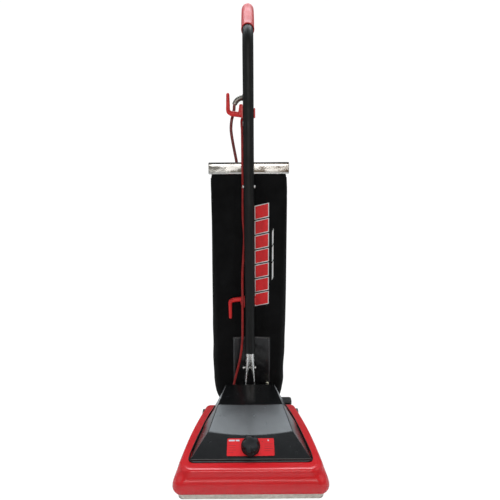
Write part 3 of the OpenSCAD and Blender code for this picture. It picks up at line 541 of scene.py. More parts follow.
def bag_ring(z):
    half, y0, y1, r = table_at(BAG_SLICES, z)
    ring = []

    def edge(a, b, n):
        ring.extend(Vector(a).lerp(Vector(b), i / n) for i in range(n))

    def corner(cx, cy, a0):
        for i in range(CORNER):
            a = math.radians(a0 + 90 * i / CORNER)
            ring.append(Vector((cx + r * math.cos(a), cy + r * math.sin(a), z)))

    edge((-half + r, y0, z), (half - r, y0, z), FRONT)
    corner(half - r, y0 + r, -90)
    edge((half, y0 + r, z), (half, y1 - r, z), SIDE)
    corner(half - r, y1 - r, 0)
    edge((half - r, y1, z), (-half + r, y1, z), FRONT)
    corner(-half + r, y1 - r, 90)
    edge((-half, y1 - r, z), (-half, y0 + r, z), SIDE)
    corner(-half + r, y0 + r, 180)
    # the filled bag hangs a little to its left
    lean = -5.5 * (1 - min(1, max(0, (z - 120) / 500)))
    return [p + Vector((lean * (p.x / half) ** 2, 0, 0)) for p in ring]


levels = [46, 50, 54, 58, 64] + [70 + i * 8.5 for i in range(80)]
levels = [z for z in levels if z < 744] + [747]
bag_rings = [bag_ring(z) for z in levels]
floor_ring = bag_rings[0]
middle = sum(floor_ring, Vector()) / len(floor_ring)
SAG = 1.5
BOTTOM_SHARES = (0.08, 0.3, 0.55, 0.8)
BOTTOM_RINGS = len(BOTTOM_SHARES)
bag_rings = [[middle.lerp(p, s) + Vector((0, 0, -SAG * (1 - s))) for p in floor_ring]
             for s in BOTTOM_SHARES] + bag_rings
RING = len(floor_ring)


def puff(p):
    """Shallow folds of the hanging cloth: long uprights at the back and sides, short pulls near the ends."""
    z = p.z
    back = min(1, max(0, (p.y - 116) / 40))
    low = math.exp(-((z - 150) / 120) ** 2)
    a = math.sin(p.x * 0.085 + 0.006 * z + 1.1) * math.sin(z * 0.006 + 0.6)
    b = math.sin(p.x * 0.21 + 0.9 * math.sin(z * 0.012)) * (0.35 + low)
    c = math.sin(z * 0.055 + p.x * 0.02) * low
    return back * (2.4 * a + 1.5 * b + 1.5 * c) + (1 - back) * (0.35 * a + 0.5 * low * c)


def bag_shape():
    verts, faces = loft_data(bag_rings, caps=False)
    faces.append(list(range(RING)))
    mesh = bpy.data.meshes.new("bag_form")
    mesh.from_pydata([p * MM for p in verts], [], faces)
    b = bmesh.new()
    b.from_mesh(mesh)
    bmesh.ops.recalc_face_normals(b, faces=b.faces)
    b.normal_update()
    for p in b.verts:
        p.co += p.normal * puff(p.co / MM) * MM
    b.to_mesh(mesh)
    b.free()
    return mesh


def settle(mesh, pinned, pressure, grow, frames_count, cap):
    """Lets the cloth fill and hang, then gives its points back, none of them moved further than cap."""
    obj = bpy.data.objects.new("settling", mesh)
    scene.collection.objects.link(obj)
    group = obj.vertex_groups.new(name="pin")
    group.add(pinned, 1.0, "REPLACE")
    before = [p.co.copy() for p in mesh.vertices]
    cloth = obj.modifiers.new("cloth", "CLOTH")
    s = cloth.settings
    s.quality = 6
    s.mass = 0.25
    s.tension_stiffness = s.compression_stiffness = 18
    s.shear_stiffness = 8
    s.bending_stiffness = 0.35
    s.use_pressure = True
    s.uniform_pressure_force = pressure
    s.shrink_min = s.shrink_max = -grow
    s.vertex_group_mass = "pin"
    s.effector_weights.gravity = 0.5
    cloth.collision_settings.use_collision = False
    cloth.point_cache.frame_start = 1
    cloth.point_cache.frame_end = frames_count
    for f in range(1, frames_count + 1):
        scene.frame_set(f)
    found = obj.evaluated_get(bpy.context.evaluated_depsgraph_get()).to_mesh()
    after = [p.co.copy() for p in found.vertices]
    obj.evaluated_get(bpy.context.evaluated_depsgraph_get()).to_mesh_clear()
    bpy.data.objects.remove(obj)
    scene.frame_set(1)
    out = []
    for a, b in zip(before, after):
        d = b - a
        out.append(a + d * (cap / d.length) if d.length > cap else b)
    return out


bag_mesh = bag_shape()
first_top = (len(bag_rings) - 3) * RING
pins_of_bag = list(range(first_top, len(bag_rings) * RING))
pins_of_bag += [i for i, p in enumerate(bag_mesh.vertices)
                if math.hypot(p.co.x - 0.052, p.co.z - 0.086) < 0.03 and p.co.y < 0.125]
settled = settle(bag_mesh, pins_of_bag, 0.8, 0.02, 22, 0.007)
for p, co in zip(bag_mesh.vertices, settled):
    # the cloth stays behind the tube, its hooks and the clip
    near = max(0, 1 - abs(co.x) / 0.045)
    co.y = max(co.y, (0.1095 + 0.0036 * min(1, near * 2)) if co.z < 0.735 else 0.1085)
    co.z = max(co.z, 0.0405)
    p.co = co


def subdivided(mesh, levels_count=1):
    obj = bpy.data.objects.new("sub", mesh)
    scene.collection.objects.link(obj)
    sub = obj.modifiers.new("sub", "SUBSURF")
    sub.levels = levels_count
    out = bpy.data.meshes.new_from_object(obj.evaluated_get(bpy.context.evaluated_depsgraph_get()))
    bpy.data.objects.remove(obj)
    return out


edge_line = {}
for label, index in (("left", RING - CORNER - SIDE // 2 - 1), ("right", FRONT + CORNER + SIDE // 2)):
    edge_line[label] = [bag_mesh.vertices[r * RING + index].co / MM
                        for r in range(BOTTOM_RINGS, len(bag_rings) - 1)]
fine = subdivided(bag_mesh)
bag = bpy.data.objects.new("dust_bag", fine)
scene.collection.objects.link(bag)
finish_piece(bag, CLOTH, replaces=("bag_upper", "bag_lower"), sharp=0)
tree = BVHTree.FromPolygons([p.co.copy() for p in bag.data.vertices],
                            [list(f.vertices) for f in bag.data.polygons])
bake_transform(bag)


# the paper bag inside it, filled a little less
filter_rings = []
for k in range(60):
    z = 62 + 628 * k / 59
    middle_y = sum(p.y for p in bag_ring(z)) / RING
    filter_rings.append([Vector((p.x * 0.86, middle_y + (p.y - middle_y) * 0.66, z)) for p in bag_ring(z)])
paper = loft("paper_filter", filter_rings, PAPER, slot="paper", replaces=("paper_bag",))
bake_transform(paper)


def on_front(x, z, proud):
    """The point of the bag's front at x, z in mm, standing proud of it."""
    hit = tree.ray_cast(Vector((x * MM, 0.06, z * MM)), Vector((0, 1, 0)))[0]
    if hit is None:
        return Vector((x, 113 - proud, z))
    return hit / MM + Vector((0, -proud, 0))


# rolled seams at the bag's sides
seam_parts = []
for label, sign in (("left", -1), ("right", 1)):
    line = [p + Vector((sign * 0.5, 0, 0)) for p in edge_line[label]]
    seam_parts.append(bar_rings(spline(line[::2], 2), 1.3, 8))
seams = many("bag_seams", seam_parts, CLOTH, slot="bag_cloth")
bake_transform(seams)

# hem inside the clip, and the tab that the hanging spring hooks into
many("bag_hem", [box_part((-103, 111.7, 744), (103, 113.3, 775.5), 0.6, 2),
                       box_part((-103, 110.1, 758), (103, 114.9, 776.3), 2.2, 4)], CLOTH, body="handle",
           slot="bag_cloth")
tab_rings = []
for z, y in ((727, 121.4), (735, 120.3), (750, 120.2), (775, 120.2), (781, 120.2)):
    tab_rings.append([Vector((x, y + d, z)) for x, d in
                      ((-10, -0.9), (10, -0.9), (10.4, 0), (10, 0.9), (-10, 0.9), (-10.4, 0))])
EYELET_AT = Vector((0, 120.2, 786))
eyelet = lathe_rings(rounded([(-1.3, 3.1), (-1.3, 6.2), (1.3, 6.2), (1.3, 3.1)], 0.9, 4), EYELET_AT,
                     (0, 1, 0), 28)
tab_top = [[EYELET_AT + Vector((math.cos(a) * r, d, math.sin(a) * r)) for a in
            [math.pi * k / 16 * 2 for k in range(16)]]
           for d, r in ((-0.9, 3.2), (-0.9, 10), (0.9, 10), (0.9, 3.2))]
many("bag_tab", [tab_rings, loft_data(tab_top, closed=True)], CLOTH, body="handle", slot="bag_cloth")
many("bag_eyelet", [loft_data(eyelet, closed=True)], BRASS, body="handle", slot="brass")

# the cloth sleeve on the exhaust spout, gathered under its band
sleeve_rings = []
for y, r, gather in ((79, 26.2, 0.1), (84, 25.9, 0.5), (86, 25.7, 0.3), (98, 25.7, 0.3), (100, 26.6, 0.8),
                     (106, 28.5, 1.5), (112, 31, 1.6), (117, 33, 0.5)):
    sleeve_rings.append([Vector((52 + (r + gather * math.sin(14 * a)) * math.cos(a), y,
                                 86 + (r + gather * math.sin(14 * a)) * math.sin(a)))
                         for a in [k * math.tau / 112 for k in range(112)]])
INNER_SHARE = 0.945
sleeve_in = [[Vector((52 + (p.x - 52) * INNER_SHARE, p.y, 86 + (p.z - 86) * INNER_SHARE)) for p in r]
             for r in sleeve_rings]
sleeve_piece = many("bag_sleeve", [loft_data(sleeve_rings + sleeve_in[::-1], closed=True)], CLOTH,
                    slot="bag_cloth")
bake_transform(sleeve_piece)

# print: a column of slanted blocks with a pale border, and a broken pale line beside it
SLANT = 9


def front_patch(x_of, z0, z1, nx, nz, proud):
    """A skin on the bag's front: x_of(u, t) is x across at share t up, thick enough to hide its edge."""
    grid = []
    for i in range(nz + 1):
        t = i / nz
        grid.append([on_front(x_of(j / nx, t), lerp(z0, z1, t) + SLANT * (j / nx - 0.5), proud)
                     for j in range(nx + 1)])
    verts = [p for row in grid for p in row]
    faces = [[i * (nx + 1) + j, i * (nx + 1) + j + 1, (i + 1) * (nx + 1) + j + 1, (i + 1) * (nx + 1) + j]
             for i in range(nz) for j in range(nx)]
    return verts, faces


red_parts, pale_parts = [], []
BLOCKS = 7
for i in range(BLOCKS):
    z0 = 372 + i * 43
    pale_parts.append(front_patch(lambda u, t: lerp(15.5, 56.5, u), z0 - 2.3, z0 + 37.3, 10, 10, 0.45))
    red_parts.append(front_patch(lambda u, t: lerp(18, 54, u), z0, z0 + 35, 10, 10, 0.75))
for z0, z1 in ((451, 500), (505, 548), (553, 594)):
    pale_parts.append(front_patch(lambda u, t: lerp(65.5, 69.5, u), z0, z1, 2, 10, 0.45))
many("bag_print_red", red_parts, PRINT_RED, body="handle", slot="bag_cloth")
many("bag_print_pale", pale_parts, PRINT_WHITE, body="handle", slot="bag_cloth")

# vinyl rub patch on the lower front, sewn on at both sides and along its top
PATCH = (-51, 61, 84, 269)
rows, cols = 44, 30
skin = []
for i in range(rows + 1):
    row = []
    for j in range(cols + 1):
        u, t = j / cols, i / rows
        x, z = lerp(PATCH[0], PATCH[1], u), lerp(PATCH[2], PATCH[3], t)
        rim = min(u, 1 - u, (1 - t) * 1.4) * 12
        crease = 0.55 * math.sin(x * 0.14 + z * 0.11) * math.sin(x * 0.05 - z * 0.07 + 2) + \
            0.5 * math.sin(x * 0.23 - z * 0.05 + 1) * max(0, (z - 180) / 90)
        row.append(on_front(x, z, 0.7 + 0.5 * min(1, rim) + max(-0.4, crease) * min(1, rim * 0.5)))
    skin.append(row)
verts = [p for r in skin for p in r]
n = cols + 1
faces = [[i * n + j, i * n + j + 1, (i + 1) * n + j + 1, (i + 1) * n + j]
         for i in range(rows) for j in range(cols)]
patch = make("rub_patch", verts, faces, VINYL, slot="cover_black", sharp=0)
thick = patch.modifiers.new("thick", "SOLIDIFY")
thick.thickness = 0.0009
thick.offset = -1
flat = bpy.data.meshes.new_from_object(patch.evaluated_get(bpy.context.evaluated_depsgraph_get()))
patch.modifiers.clear()
patch.data = flat
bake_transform(patch)
SUNK = Vector((0, 0.9, 0))
stitch_parts = []
for x in (PATCH[0] + 4, PATCH[1] - 4):
    z = PATCH[2] + 4
    while z < PATCH[3] - 5:
        a, b = on_front(x, z, 1.75), on_front(x, z + 3.4, 1.75)
        stitch_parts.append(bar_rings([a + SUNK, a, b, b + SUNK], 0.5, 5, first=(1, 0, 0)))
        z += 5.4
x = PATCH[0] + 7
while x < PATCH[1] - 8:
    a, b = on_front(x, PATCH[3] - 4, 1.75), on_front(x + 3.4, PATCH[3] - 4, 1.75)
    stitch_parts.append(bar_rings([a + SUNK, a, b, b + SUNK], 0.5, 5, first=(0, 0, 1)))
    x += 5.4
stitches = many("patch_stitches", stitch_parts, THREAD, slot="bag_cloth")
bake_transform(stitches)

# ---- bag clip: a rolled channel open below, with turned-in lips and pinched ends ----
wall = 0.9
half_deep, mid_y = 6, 112.5
right_side = [(1.5, 756), (1.5, 752), (2.2, 750.4), (3.6, 750.2), (5, 751.7), (5.75, 754.6), (6, 758.5), (6, 765.5),
              (6, 772), (5.75, 776.2), (4.9, 779.2), (3.2, 780.8), (1.4, 781), (0, 781)]
right_side = [(p.x, p.y) for p in spline([(a, b, 0) for a, b in right_side], 3)]
outline = right_side + [(-a, b) for a, b in right_side[::-1][1:]]


def thickened(line, t):
    inner = []
    for i, p in enumerate(line):
        a, b = Vector(line[max(i - 1, 0)]), Vector(line[min(i + 1, len(line) - 1)])
        d = (b - a).normalized()
        inner.append((p[0] - d.y * t, p[1] + d.x * t))
    return list(line) + inner[::-1]


section = thickened(outline, wall)
clip_rings = []
CLIP_MID_Z, CLIP_HALF_HIGH = 765.5, 15.5
for x, grow in ((-111, -1.0), (-110.3, -0.35), (-109, 0), (-60, 0), (0, 0), (60, 0), (109, 0), (110.3, -0.35),
                (111, -1.0)):
    clip_rings.append([Vector((x, mid_y + a * (half_deep + grow) / half_deep,
                               CLIP_MID_Z + (b - CLIP_MID_Z) * (CLIP_HALF_HIGH + grow) / CLIP_HALF_HIGH))
                       for a, b in section])
many("clip_channel", [clip_rings], CLIP_STEEL, body="bag_clip", slot="polished_steel", replaces=("bag_clip",),
            sharp=50)

many("clip_top_seam", [box_part((-110.2, 107.6, 780.4), (110.2, 117.4, 782.2), 0.7, 2)], CLIP_SEAM, body="bag_clip",
     slot="polished_steel")

# ---- grip: a soft sleeve with a rolled rim and grooves on its underside ----
GRIP_FOOT = Vector((0, 109.07, 1112.43))
GRIP_AXIS = Vector((0, 0.70711, 0.70711))


def grip_wave(a, i, r):
    under = max(0, -math.sin(a))
    return r - (0.55 * max(0, math.sin(7 * a)) * under if 5 < i < 26 and r > 15 else 0)


grip_profile = [(1.5, 14.35), (0.2, 14.5), (-0.6, 15.2), (-0.4, 16.6), (0.9, 17.1), (3, 17.15), (5.5, 16.9)]
grip_profile += [(9 + 5.2 * k, 16.6 + 0.35 * math.sin(math.pi * k / 19)) for k in range(20)]
grip_profile += [(112, 16.5), (116, 15.8), (118.4, 14.3), (119.6, 11.5), (120, 7), (120, 2)]
loft("grip_sleeve", lathe_rings(grip_profile, GRIP_FOOT, GRIP_AXIS, 72, grip_wave), GRIP, body="handle",
     slot="grip_red", replaces=("grip",), sharp=0)

# ---- hooks ----
TUBE_Y = 91.5


def hook_parts(z0, up, reach, prong):
    """A saddle behind the tube, an arm that runs out of it and turns into a tapered prong."""
    def at(x, y, z):
        return Vector((x, TUBE_Y + y, z0 + up * z))
    arm = spline([(-13.5, 9.5, 6.5), (-20, 8.4, 7.2), (-32, 7.2, 8.4), (-44, 7, 9.8), (-reach + 7, 7, 11),
                  (-reach + 1.8, 7, 14), (-reach, 7, 20), (-reach, 7, 30), (-reach, 7, 45), (-reach, 7, prong)], 5)
    arm = [at(*p) for p in arm]
    tip = arm[-1]
    sizes = [(0, 7.2, 5.6), (0.12, 6.9, 5.4), (0.4, 6.3, 5.2), (0.52, 6.1, 5.4), (0.62, 5.5, 5.2), (0.8, 5, 5),
             (1, 4.3, 4.4)]
    rings = []
    last = len(arm) - 1
    for i, (p, (_, s, u)) in enumerate(zip(arm, side_frames(arm, first=(0, 1, 0)))):
        a, b = table_at(sizes, i / last)
        ring = []
        for k in range(20):
            c, n = math.cos(k * math.tau / 20), math.sin(k * math.tau / 20)
            ring.append(p + s * math.copysign(abs(c) ** 0.85, c) * b + u * math.copysign(abs(n) ** 0.85, n) * a)
        rings.append(ring)
    top = Vector((0, 0, up))
    for d, share in ((1.9, 0.88), (3.2, 0.62), (3.9, 0.25)):
        rings.append([tip + (p - tip) * share + top * d for p in rings[last]])
    parts = [rings]
    # saddle: a half ring whose outer edges are rounded
    band = rounded([(14.7, -2), (18.4, -2), (18.4, 30), (14.7, 30)], 1.2, 4)
    band = [(14.7, 29.9)] + band
    saddle = []
    for k in range(29):
        a = math.radians(-1 + 182 * k / 28)
        saddle.append([at(r * math.cos(a), r * math.sin(a), z if z < 14 else z - 8 + 8 * k / 28)
                       for r, z in band])
    parts.append(saddle)
    # upright tab between the arm and the saddle
    tab_rings = []
    for z, x0, x1, d in ((6, -28, -15, 5), (12, -27, -15, 4.8), (17, -26, -15, 4.3), (24, -24.8, -15, 4),
                         (31, -24, -15, 3.8), (33, -22.6, -15.4, 3)):
        corners = [(x1, 7.5 - d), (x0, 7.5 - d), (x0, 7.5 + d), (x1, 7.5 + d)]
        tab_rings.append([at(x, y, z) for x, y in rounded(corners, 1.6, 3)])
    parts.append(tab_rings)
    return parts


many("upper_cord_hook", hook_parts(897, 1, 53.5, 57.5), HOOKS, body="handle", slot="hook_red",
     replaces=("upper_hook",))
many("lower_cord_hook", hook_parts(400, -1, 57, 63.5), HOOKS, body="handle", slot="hook_red",
     replaces=("lower_hook",))

# ---- fork: two legs pressed from one tube, with a pointed gap between them ----
LEG = [(56.5, 13.6, 0.5, 3), (58, 13.6, 0.5, 6.6), (62, 13.6, 0.5, 11), (66, 13.6, 0.6, 13.2), (70, 13.6, 0.6, 14),
       (76, 13.6, 0.7, 13.2), (84, 13.6, 0.9, 11.2), (94, 13.4, 1.9, 9.4), (100, 13.2, 2.8, 9), (118, 11.8, 4.7, 9.2),
       (140, 9.2, 6, 9.9), (160, 6.6, 7.7, 10.7), (180, 3.9, 9.8, 11.6), (195, 1.7, 11.6, 12.3), (204, 0.5, 12.5, 12.7),
       (212, 0.05, 12.75, 12.75), (227.6, 0.05, 12.75, 12.75)]
legs = []
for side in (1, -1):
    rings = []
    for z, inner, bulge, half in LEG:
        outer, inside = [], []
        for k in range(13):
            a = math.radians(-90 + 15 * k)
            outer.append(Vector((side * (inner + 1.6 * math.cos(a) ** 0.5 * (1 if bulge < 3 else 0)
                                         + bulge * math.cos(a)), TUBE_Y + half * math.sin(a), z)))
            thin = max(0.1, half - 2)
            inside.append(Vector((side * (inner + max(0, bulge - 2) * math.cos(a)),
                                  TUBE_Y + thin * math.sin(a), z)))
        rings.append(outer + inside[::-1])
    legs.append(rings)
many("handle_fork_legs", legs, CHROME, body="handle", slot="polished_steel", replaces=("handle_fork",),
     sharp=50)

# ---- hood: a moulded shell whose shoulder rolls over into the front ----
# height, how far the front and the sides are drawn in there, and the front corners' radius
HOOD_LEVELS = [(30, 2.6, 2.6, 22), (34, 0.8, 0.8, 23.6), (38, 0.1, 0.1, 24), (44, 0, 0.8, 24), (50, 0.1, 2.5, 25),
               (54, 0.6, 4, 26), (58, 2, 5.7, 26.5), (61, 3.6, 7, 27), (63.5, 5.2, 8.1, 28), (66, 6.9, 9.3, 28),
               (69, 8.5, 10.5, 29), (73, 9.9, 12, 31), (77, 10.9, 13.4, 32), (80, 11.8, 14.9, 32), (82.4, 13.1, 16.9, 32),
               (83.8, 15, 18.8, 32), (84.6, 17.6, 20.8, 31), (85, 21.5, 22.8, 30), (85.4, 35.5, 26, 28)]


def hood_ring(z, front, side, radius, t, drop):
    """One level of the hood: its sides narrow to the rear, where they also stand straighter."""
    lean = math.degrees(math.atan2(45.5, 226))
    half, rear = 183 - side - t, 137.5 - 0.42 * side - t
    y0, y1 = -206.5 + front + t, 53.5 - t
    rc = max(6, radius - t)
    right = [((half - rc) * k / 14, y0) for k in range(14)]
    for k in range(19):
        a = math.radians(-90 + (90 + lean) * k / 18)
        right.append((half - rc + rc * math.cos(a), y0 + rc + rc * math.sin(a)))
    p = Vector(right[-1])
    a = math.radians(lean)
    q = Vector((rear - 9 + 9 * math.cos(a), y1 - 9 + 9 * math.sin(a)))
    for k in range(1, 16):
        u = k / 16
        x, y = p.lerp(q, u)
        right.append((x + 0.3 * side * math.sin(math.pi * u ** 0.9), y))
    for k in range(7):
        a = math.radians(lean + (90 - lean) * k / 6)
        right.append((rear - 9 + 9 * math.cos(a), y1 - 9 + 9 * math.sin(a)))
    right += [((rear - 9) * (1 - k / 8), y1) for k in range(1, 9)]
    whole = right + [(-x, y) for x, y in right[::-1][1:-1]]
    return [Vector((x, y, z - drop * max(0, (y + 165) / 218) ** 1.3)) for x, y in whole]


def solid(part):
    mesh = bpy.data.meshes.new("solid")
    mesh.from_pydata([Vector(p) * MM for p in part[0]], [], part[1])
    b = bmesh.new()
    b.from_mesh(mesh)
    bmesh.ops.recalc_face_normals(b, faces=b.faces)
    b.to_mesh(mesh)
    b.free()
    obj = bpy.data.objects.new("solid", mesh)
    scene.collection.objects.link(obj)
    return obj


def carved(name, part, cutters):
    """The part as an object, with the cutters taken out of it."""
    obj = solid(part)
    tools = [solid(c) for c in cutters]
    for tool in tools:
        cut = obj.modifiers.new("cut", "BOOLEAN")
        cut.operation = "DIFFERENCE"
        cut.solver = "EXACT"
        cut.object = tool
    mesh = bpy.data.meshes.new_from_object(obj.evaluated_get(bpy.context.evaluated_depsgraph_get()))
    for used in tools + [obj]:
        bpy.data.objects.remove(used)
    out = bpy.data.objects.new(name, mesh)
    scene.collection.objects.link(out)
    return out


def rear_drop(z):
    """How much lower this level of the hood stands at the rear."""
    return 7 * max(0, z - 60) / 25.4


WALL = 2.5
hood_out = loft_data([hood_ring(z, f, w, r, 0, rear_drop(z)) for z, f, w, r in HOOD_LEVELS])
hood_in = loft_data([hood_ring(20 if i == 0 else z - WALL * (z - 30) / 55, f, w, r, WALL, rear_drop(z))
                     for i, (z, f, w, r) in enumerate(HOOD_LEVELS)])
WINDOW = [(-132, -167.5), (132, -167.5), (134, -152), (93, 60), (-93, 60), (-134, -152)]
hood = carved("hood_shell", hood_out, [
    hood_in, loft_data([[Vector((x, y, z)) for x, y in WINDOW] for z in (66, 140)]),
    box_part((-100, 38, 0), (100, 80, 120), 3, 4), box_part((108, 26, -10), (150, 80, 60), 5, 5),
    box_part((-150, 26, -10), (-108, 80, 60), 5, 5)])
finish_piece(hood, HOOD, body="base", replaces=("hood",), sharp=38)
hood.modifiers.new("weighted", "WEIGHTED_NORMAL").keep_sharp = True

# the soft bumper round the front of the sole
bumper = [p for p in hood_ring(20, 9.5, 10, 24, 0, 0) if p.y < -108]
split_at = max(range(len(bumper)), key=lambda i: (bumper[i] - bumper[i - 1]).length)
bumper = bumper[split_at:] + bumper[:split_at]
bumper_rings = []
for p, (_, s, _) in zip(bumper, side_frames(bumper, first=(0, 0, 1))):
    out = (Vector((p.x, p.y, 0)) - Vector((0, -110, 0))).normalized()
    bumper_rings.append([Vector((p.x, p.y, 0)) + out * d + Vector((0, 0, z)) for d, z in
                         rounded([(-2, 29.6), (-2, 11.2), (1.2, 11.2), (1.8, 20), (1.2, 29.6)], 1.6, 4)])
loft("furniture_bumper", bumper_rings, GUARD, body="base", slot="guard_pale",
     replaces=("furniture_guard",), sharp=50)

# ---- motor cover ----
FOLDS = [(69, 43.5, 145.5), (85, -41.5, 142.5), (103.5, -113.5, 119), (141, -166.5, 89.5)]
SLOPE = math.atan2(29.5, 53)
EDGE_R = 4


def foot_x(y):
    """Half the cover's width at its foot."""
    return table_at([(-158, 145.5), (-144, 145), (-113.5, 140), (-85, 135), (-41.5, 127), (0, 117.5),
                     (43.5, 104)], y)[0]


def cover_panel():
    """The cover's outside as a coarse net whose folds are then rounded."""
    b = bmesh.new()
    cols = 16
    up = [Vector((0, 0, 4)), Vector((0, -0.7, 4.2)), Vector((0, -1.7, 3.9)), Vector((0, -3.4, 2.6))]
    bow = [0, -1.2, -8, 0]
    sink = [0, 0, 8 * math.tan(SLOPE), 0]
    grid = []
    for (half, y, z), lift, dip, low in zip(FOLDS, up, bow, sink):
        row = []
        for j in range(cols + 1):
            u = 2 * j / cols - 1
            hollow = Vector((0, dip, -low)) * (1 - u * u)
            row.append(b.verts.new(Vector((u * (half + 1.4), y, z)) + lift + hollow))
        grid.append(row)
    rear = [b.verts.new(Vector((p.co.x, 47.5, p.co.z - 0.3))) for p in grid[0]]
    foot_rear = [b.verts.new(Vector((p.co.x / 70.4 * 104, 47.5, 83))) for p in grid[0]]
    lip = [b.verts.new(Vector((p.co.x / 142.4 * 145, -170.4, 84.9))) for p in grid[3]]
    strips = [(foot_rear, rear), (rear, grid[0]), (grid[0], grid[1]), (grid[1], grid[2]), (grid[2], grid[3]),
              (grid[3], lip)]
    for low, high in strips:
        for j in range(cols):
            b.faces.new([low[j], low[j + 1], high[j + 1], high[j]])
    for side, sign in ((0, -1), (cols, 1)):
        # side panels down to the hood
        base = []
        for (half, y, z) in FOLDS[:3]:
            base.append(b.verts.new(Vector((sign * foot_x(y), y, lerp(81, 84.9, (43.5 - y) / 210)))))
        b.faces.new([foot_rear[side], rear[side], grid[0][side], base[0]])
        for i in range(2):
            b.faces.new([base[i], grid[i][side], grid[i + 1][side], base[i + 1]])
        b.faces.new([base[2], grid[2][side], grid[3][side], lip[side]])
    bmesh.ops.recalc_face_normals(b, faces=b.faces)
    folds = []
    for e in b.edges:
        if len(e.link_faces) != 2:
            continue
        if e.calc_face_angle(0) > math.radians(9):
            folds.append(e)
    bmesh.ops.bevel(b, geom=folds, offset=10, segments=7, profile=0.5, affect="EDGES", clamp_overlap=True)
    b.verts.index_update()
    out = [p.co.copy() for p in b.verts], [[p.index for p in f.verts] for f in b.faces]
    b.free()
    return out


cover = many("motor_cover_shell", [cover_panel()], COVER, slot="cover_black", replaces=("motor_cover",),
             sharp=0)
shell = cover.modifiers.new("shell", "SOLIDIFY")
shell.thickness = 0.0025
shell.offset = -1
cover.modifiers.new("weighted", "WEIGHTED_NORMAL")
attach(cover, "base")


# a rolled rim round the foot of the cover
def rim_path():
    side = [(foot_x(y) + 0.5, y) for y in (44, 20, 0, -20, -41.5, -63, -85, -100, -113.5, -130, -144)]
    c = rounded([(-x, y) for x, y in side] + [(-146, -171), (146, -171)] + side[::-1], 15, 8)
    return [Vector((x, y, lerp(81.5, 86.2, (44 - y) / 215))) for x, y in c]


loft("motor_cover_rim", bar_rings(rim_path(), 2.1, 10, first=(0, 0, 1)), COVER, body="base", slot="cover_black",
     sharp=0)

# ---- label, with plain ruled marks, and the knob on it ----
KNOB = (Matrix.Translation((0, -113.5 - 0.57 * 53, 119 - 0.57 * 29.5)) @ Matrix.Rotation(SLOPE, 4, "X")
        @ Matrix.Translation((0, 0, EDGE_R)))


def plate(x0, x1, y0, y1, z0, z1, r):
    c = []
    for cx, cy, a0 in ((x1 - r, y1 - r, 0), (x0 + r, y1 - r, 90), (x0 + r, y0 + r, 180), (x1 - r, y0 + r, 270)):
        c += [(cx + r * math.cos(math.radians(a0 + 90 * k / 5)),
               cy + r * math.sin(math.radians(a0 + 90 * k / 5)))
              for k in range(6)]
    return loft_data([[KNOB @ Vector((x, y, z)) for x, y in c] for z in (z0, z1)])


many("knob_label", [plate(-56.5, 56.5, -21, 18, 0.1, 1.25, 2.5)], LABEL, body="base", slot="label_red",
     replaces=("label_plate",))
marks = []
for i, width in enumerate((20, 17, 20, 14)):
    marks.append(plate(33, 33 + width, 4.5 - i * 5, 5.2 - i * 5, 1.2, 1.36, 0.3))
    marks.append(plate(-53, -53 + width * 0.9, 1.5 - i * 5, 2.1 - i * 5, 1.2, 1.36, 0.3))
for k in range(7):
    a = math.radians(20 + 140 * k / 6)
    tick = loft_data([[KNOB @ (Matrix.Rotation(a, 4, "Z") @ Vector((x, y, z))) for x, y in
                       ((28.5, -0.5), (32, -0.5), (32, 0.5), (28.5, 0.5))] for z in (1.2, 1.36)])
    if abs(math.sin(a) * 32) < 17:
        marks.append(tick)
many("knob_label_marks", marks, LABEL_MARK, body="base", slot="label_red")
pale = [plate(-53, -38, 11.5, 15, 1.2, 1.38, 0.8), plate(-36, -27, 11.5, 15, 1.2, 1.38, 0.8),
        plate(41, 44.5, 11.5, 15, 1.2, 1.38, 1.5)]
many("knob_label_blocks", pale, LABEL_PALE, body="base", slot="label_red")


def lobes(a, i, r):
    depth = (0, 0, 0, 0, 0, 0, 0.4, 1.4, 2.6, 3.1, 3.1, 2.8, 2.2, 1.2, 0.2)[min(i, 14)]
    return r + depth * (abs(math.cos(2.5 * a)) ** 0.8 * 2 - 1.2)


knob_profile = [(2.0, 22), (2.3, 22.8), (3.2, 23), (4.4, 22.4), (6, 21.6), (6.8, 20.8), (7.6, 20.1), (8.2, 19.6),
                (9.2, 19.3), (10.6, 19.1), (13.2, 18.7), (14.6, 18), (15.3, 16.6), (15.6, 14), (15.3, 9), (15, 5)]
knob_rings = [[KNOB @ p for p in r] for r in lathe_rings(knob_profile, (0, 0, 0), (0, 0, 1), 90, lobes)]
pointer = [moved(box_part((-1.3, -16.5, 14.5), (1.3, -3, 16.2), 0.8, 3), KNOB)]
many("knob_cap", [knob_rings] + pointer, KNOB_FINISH, body="height_knob", slot="cover_black",
     replaces=("height_knob",), sharp=38)

# ---- lights, floor and backdrop ----
world = bpy.data.worlds.new("studio")
scene.world = world
world.use_nodes = True
tree = world.node_tree
background = tree.nodes["Background"]
# the room round the machine: dimmest straight in front of it, browner to its right
heading = tree.nodes.new("ShaderNodeTexCoord")
axes = tree.nodes.new("ShaderNodeSeparateXYZ")
tree.links.new(heading.outputs["Generated"], axes.inputs["Vector"])


def swing(axis, low, high, to_low, to_high):
    """A smooth step along one axis of the direction."""
    n = tree.nodes.new("ShaderNodeMapRange")
    n.interpolation_type = "SMOOTHSTEP"
    for key, x in (("From Min", low), ("From Max", high), ("To Min", to_low), ("To Max", to_high)):
        n.inputs[key].default_value = x
    tree.links.new(axes.outputs[axis], n.inputs["Value"])
    return n.outputs["Result"]


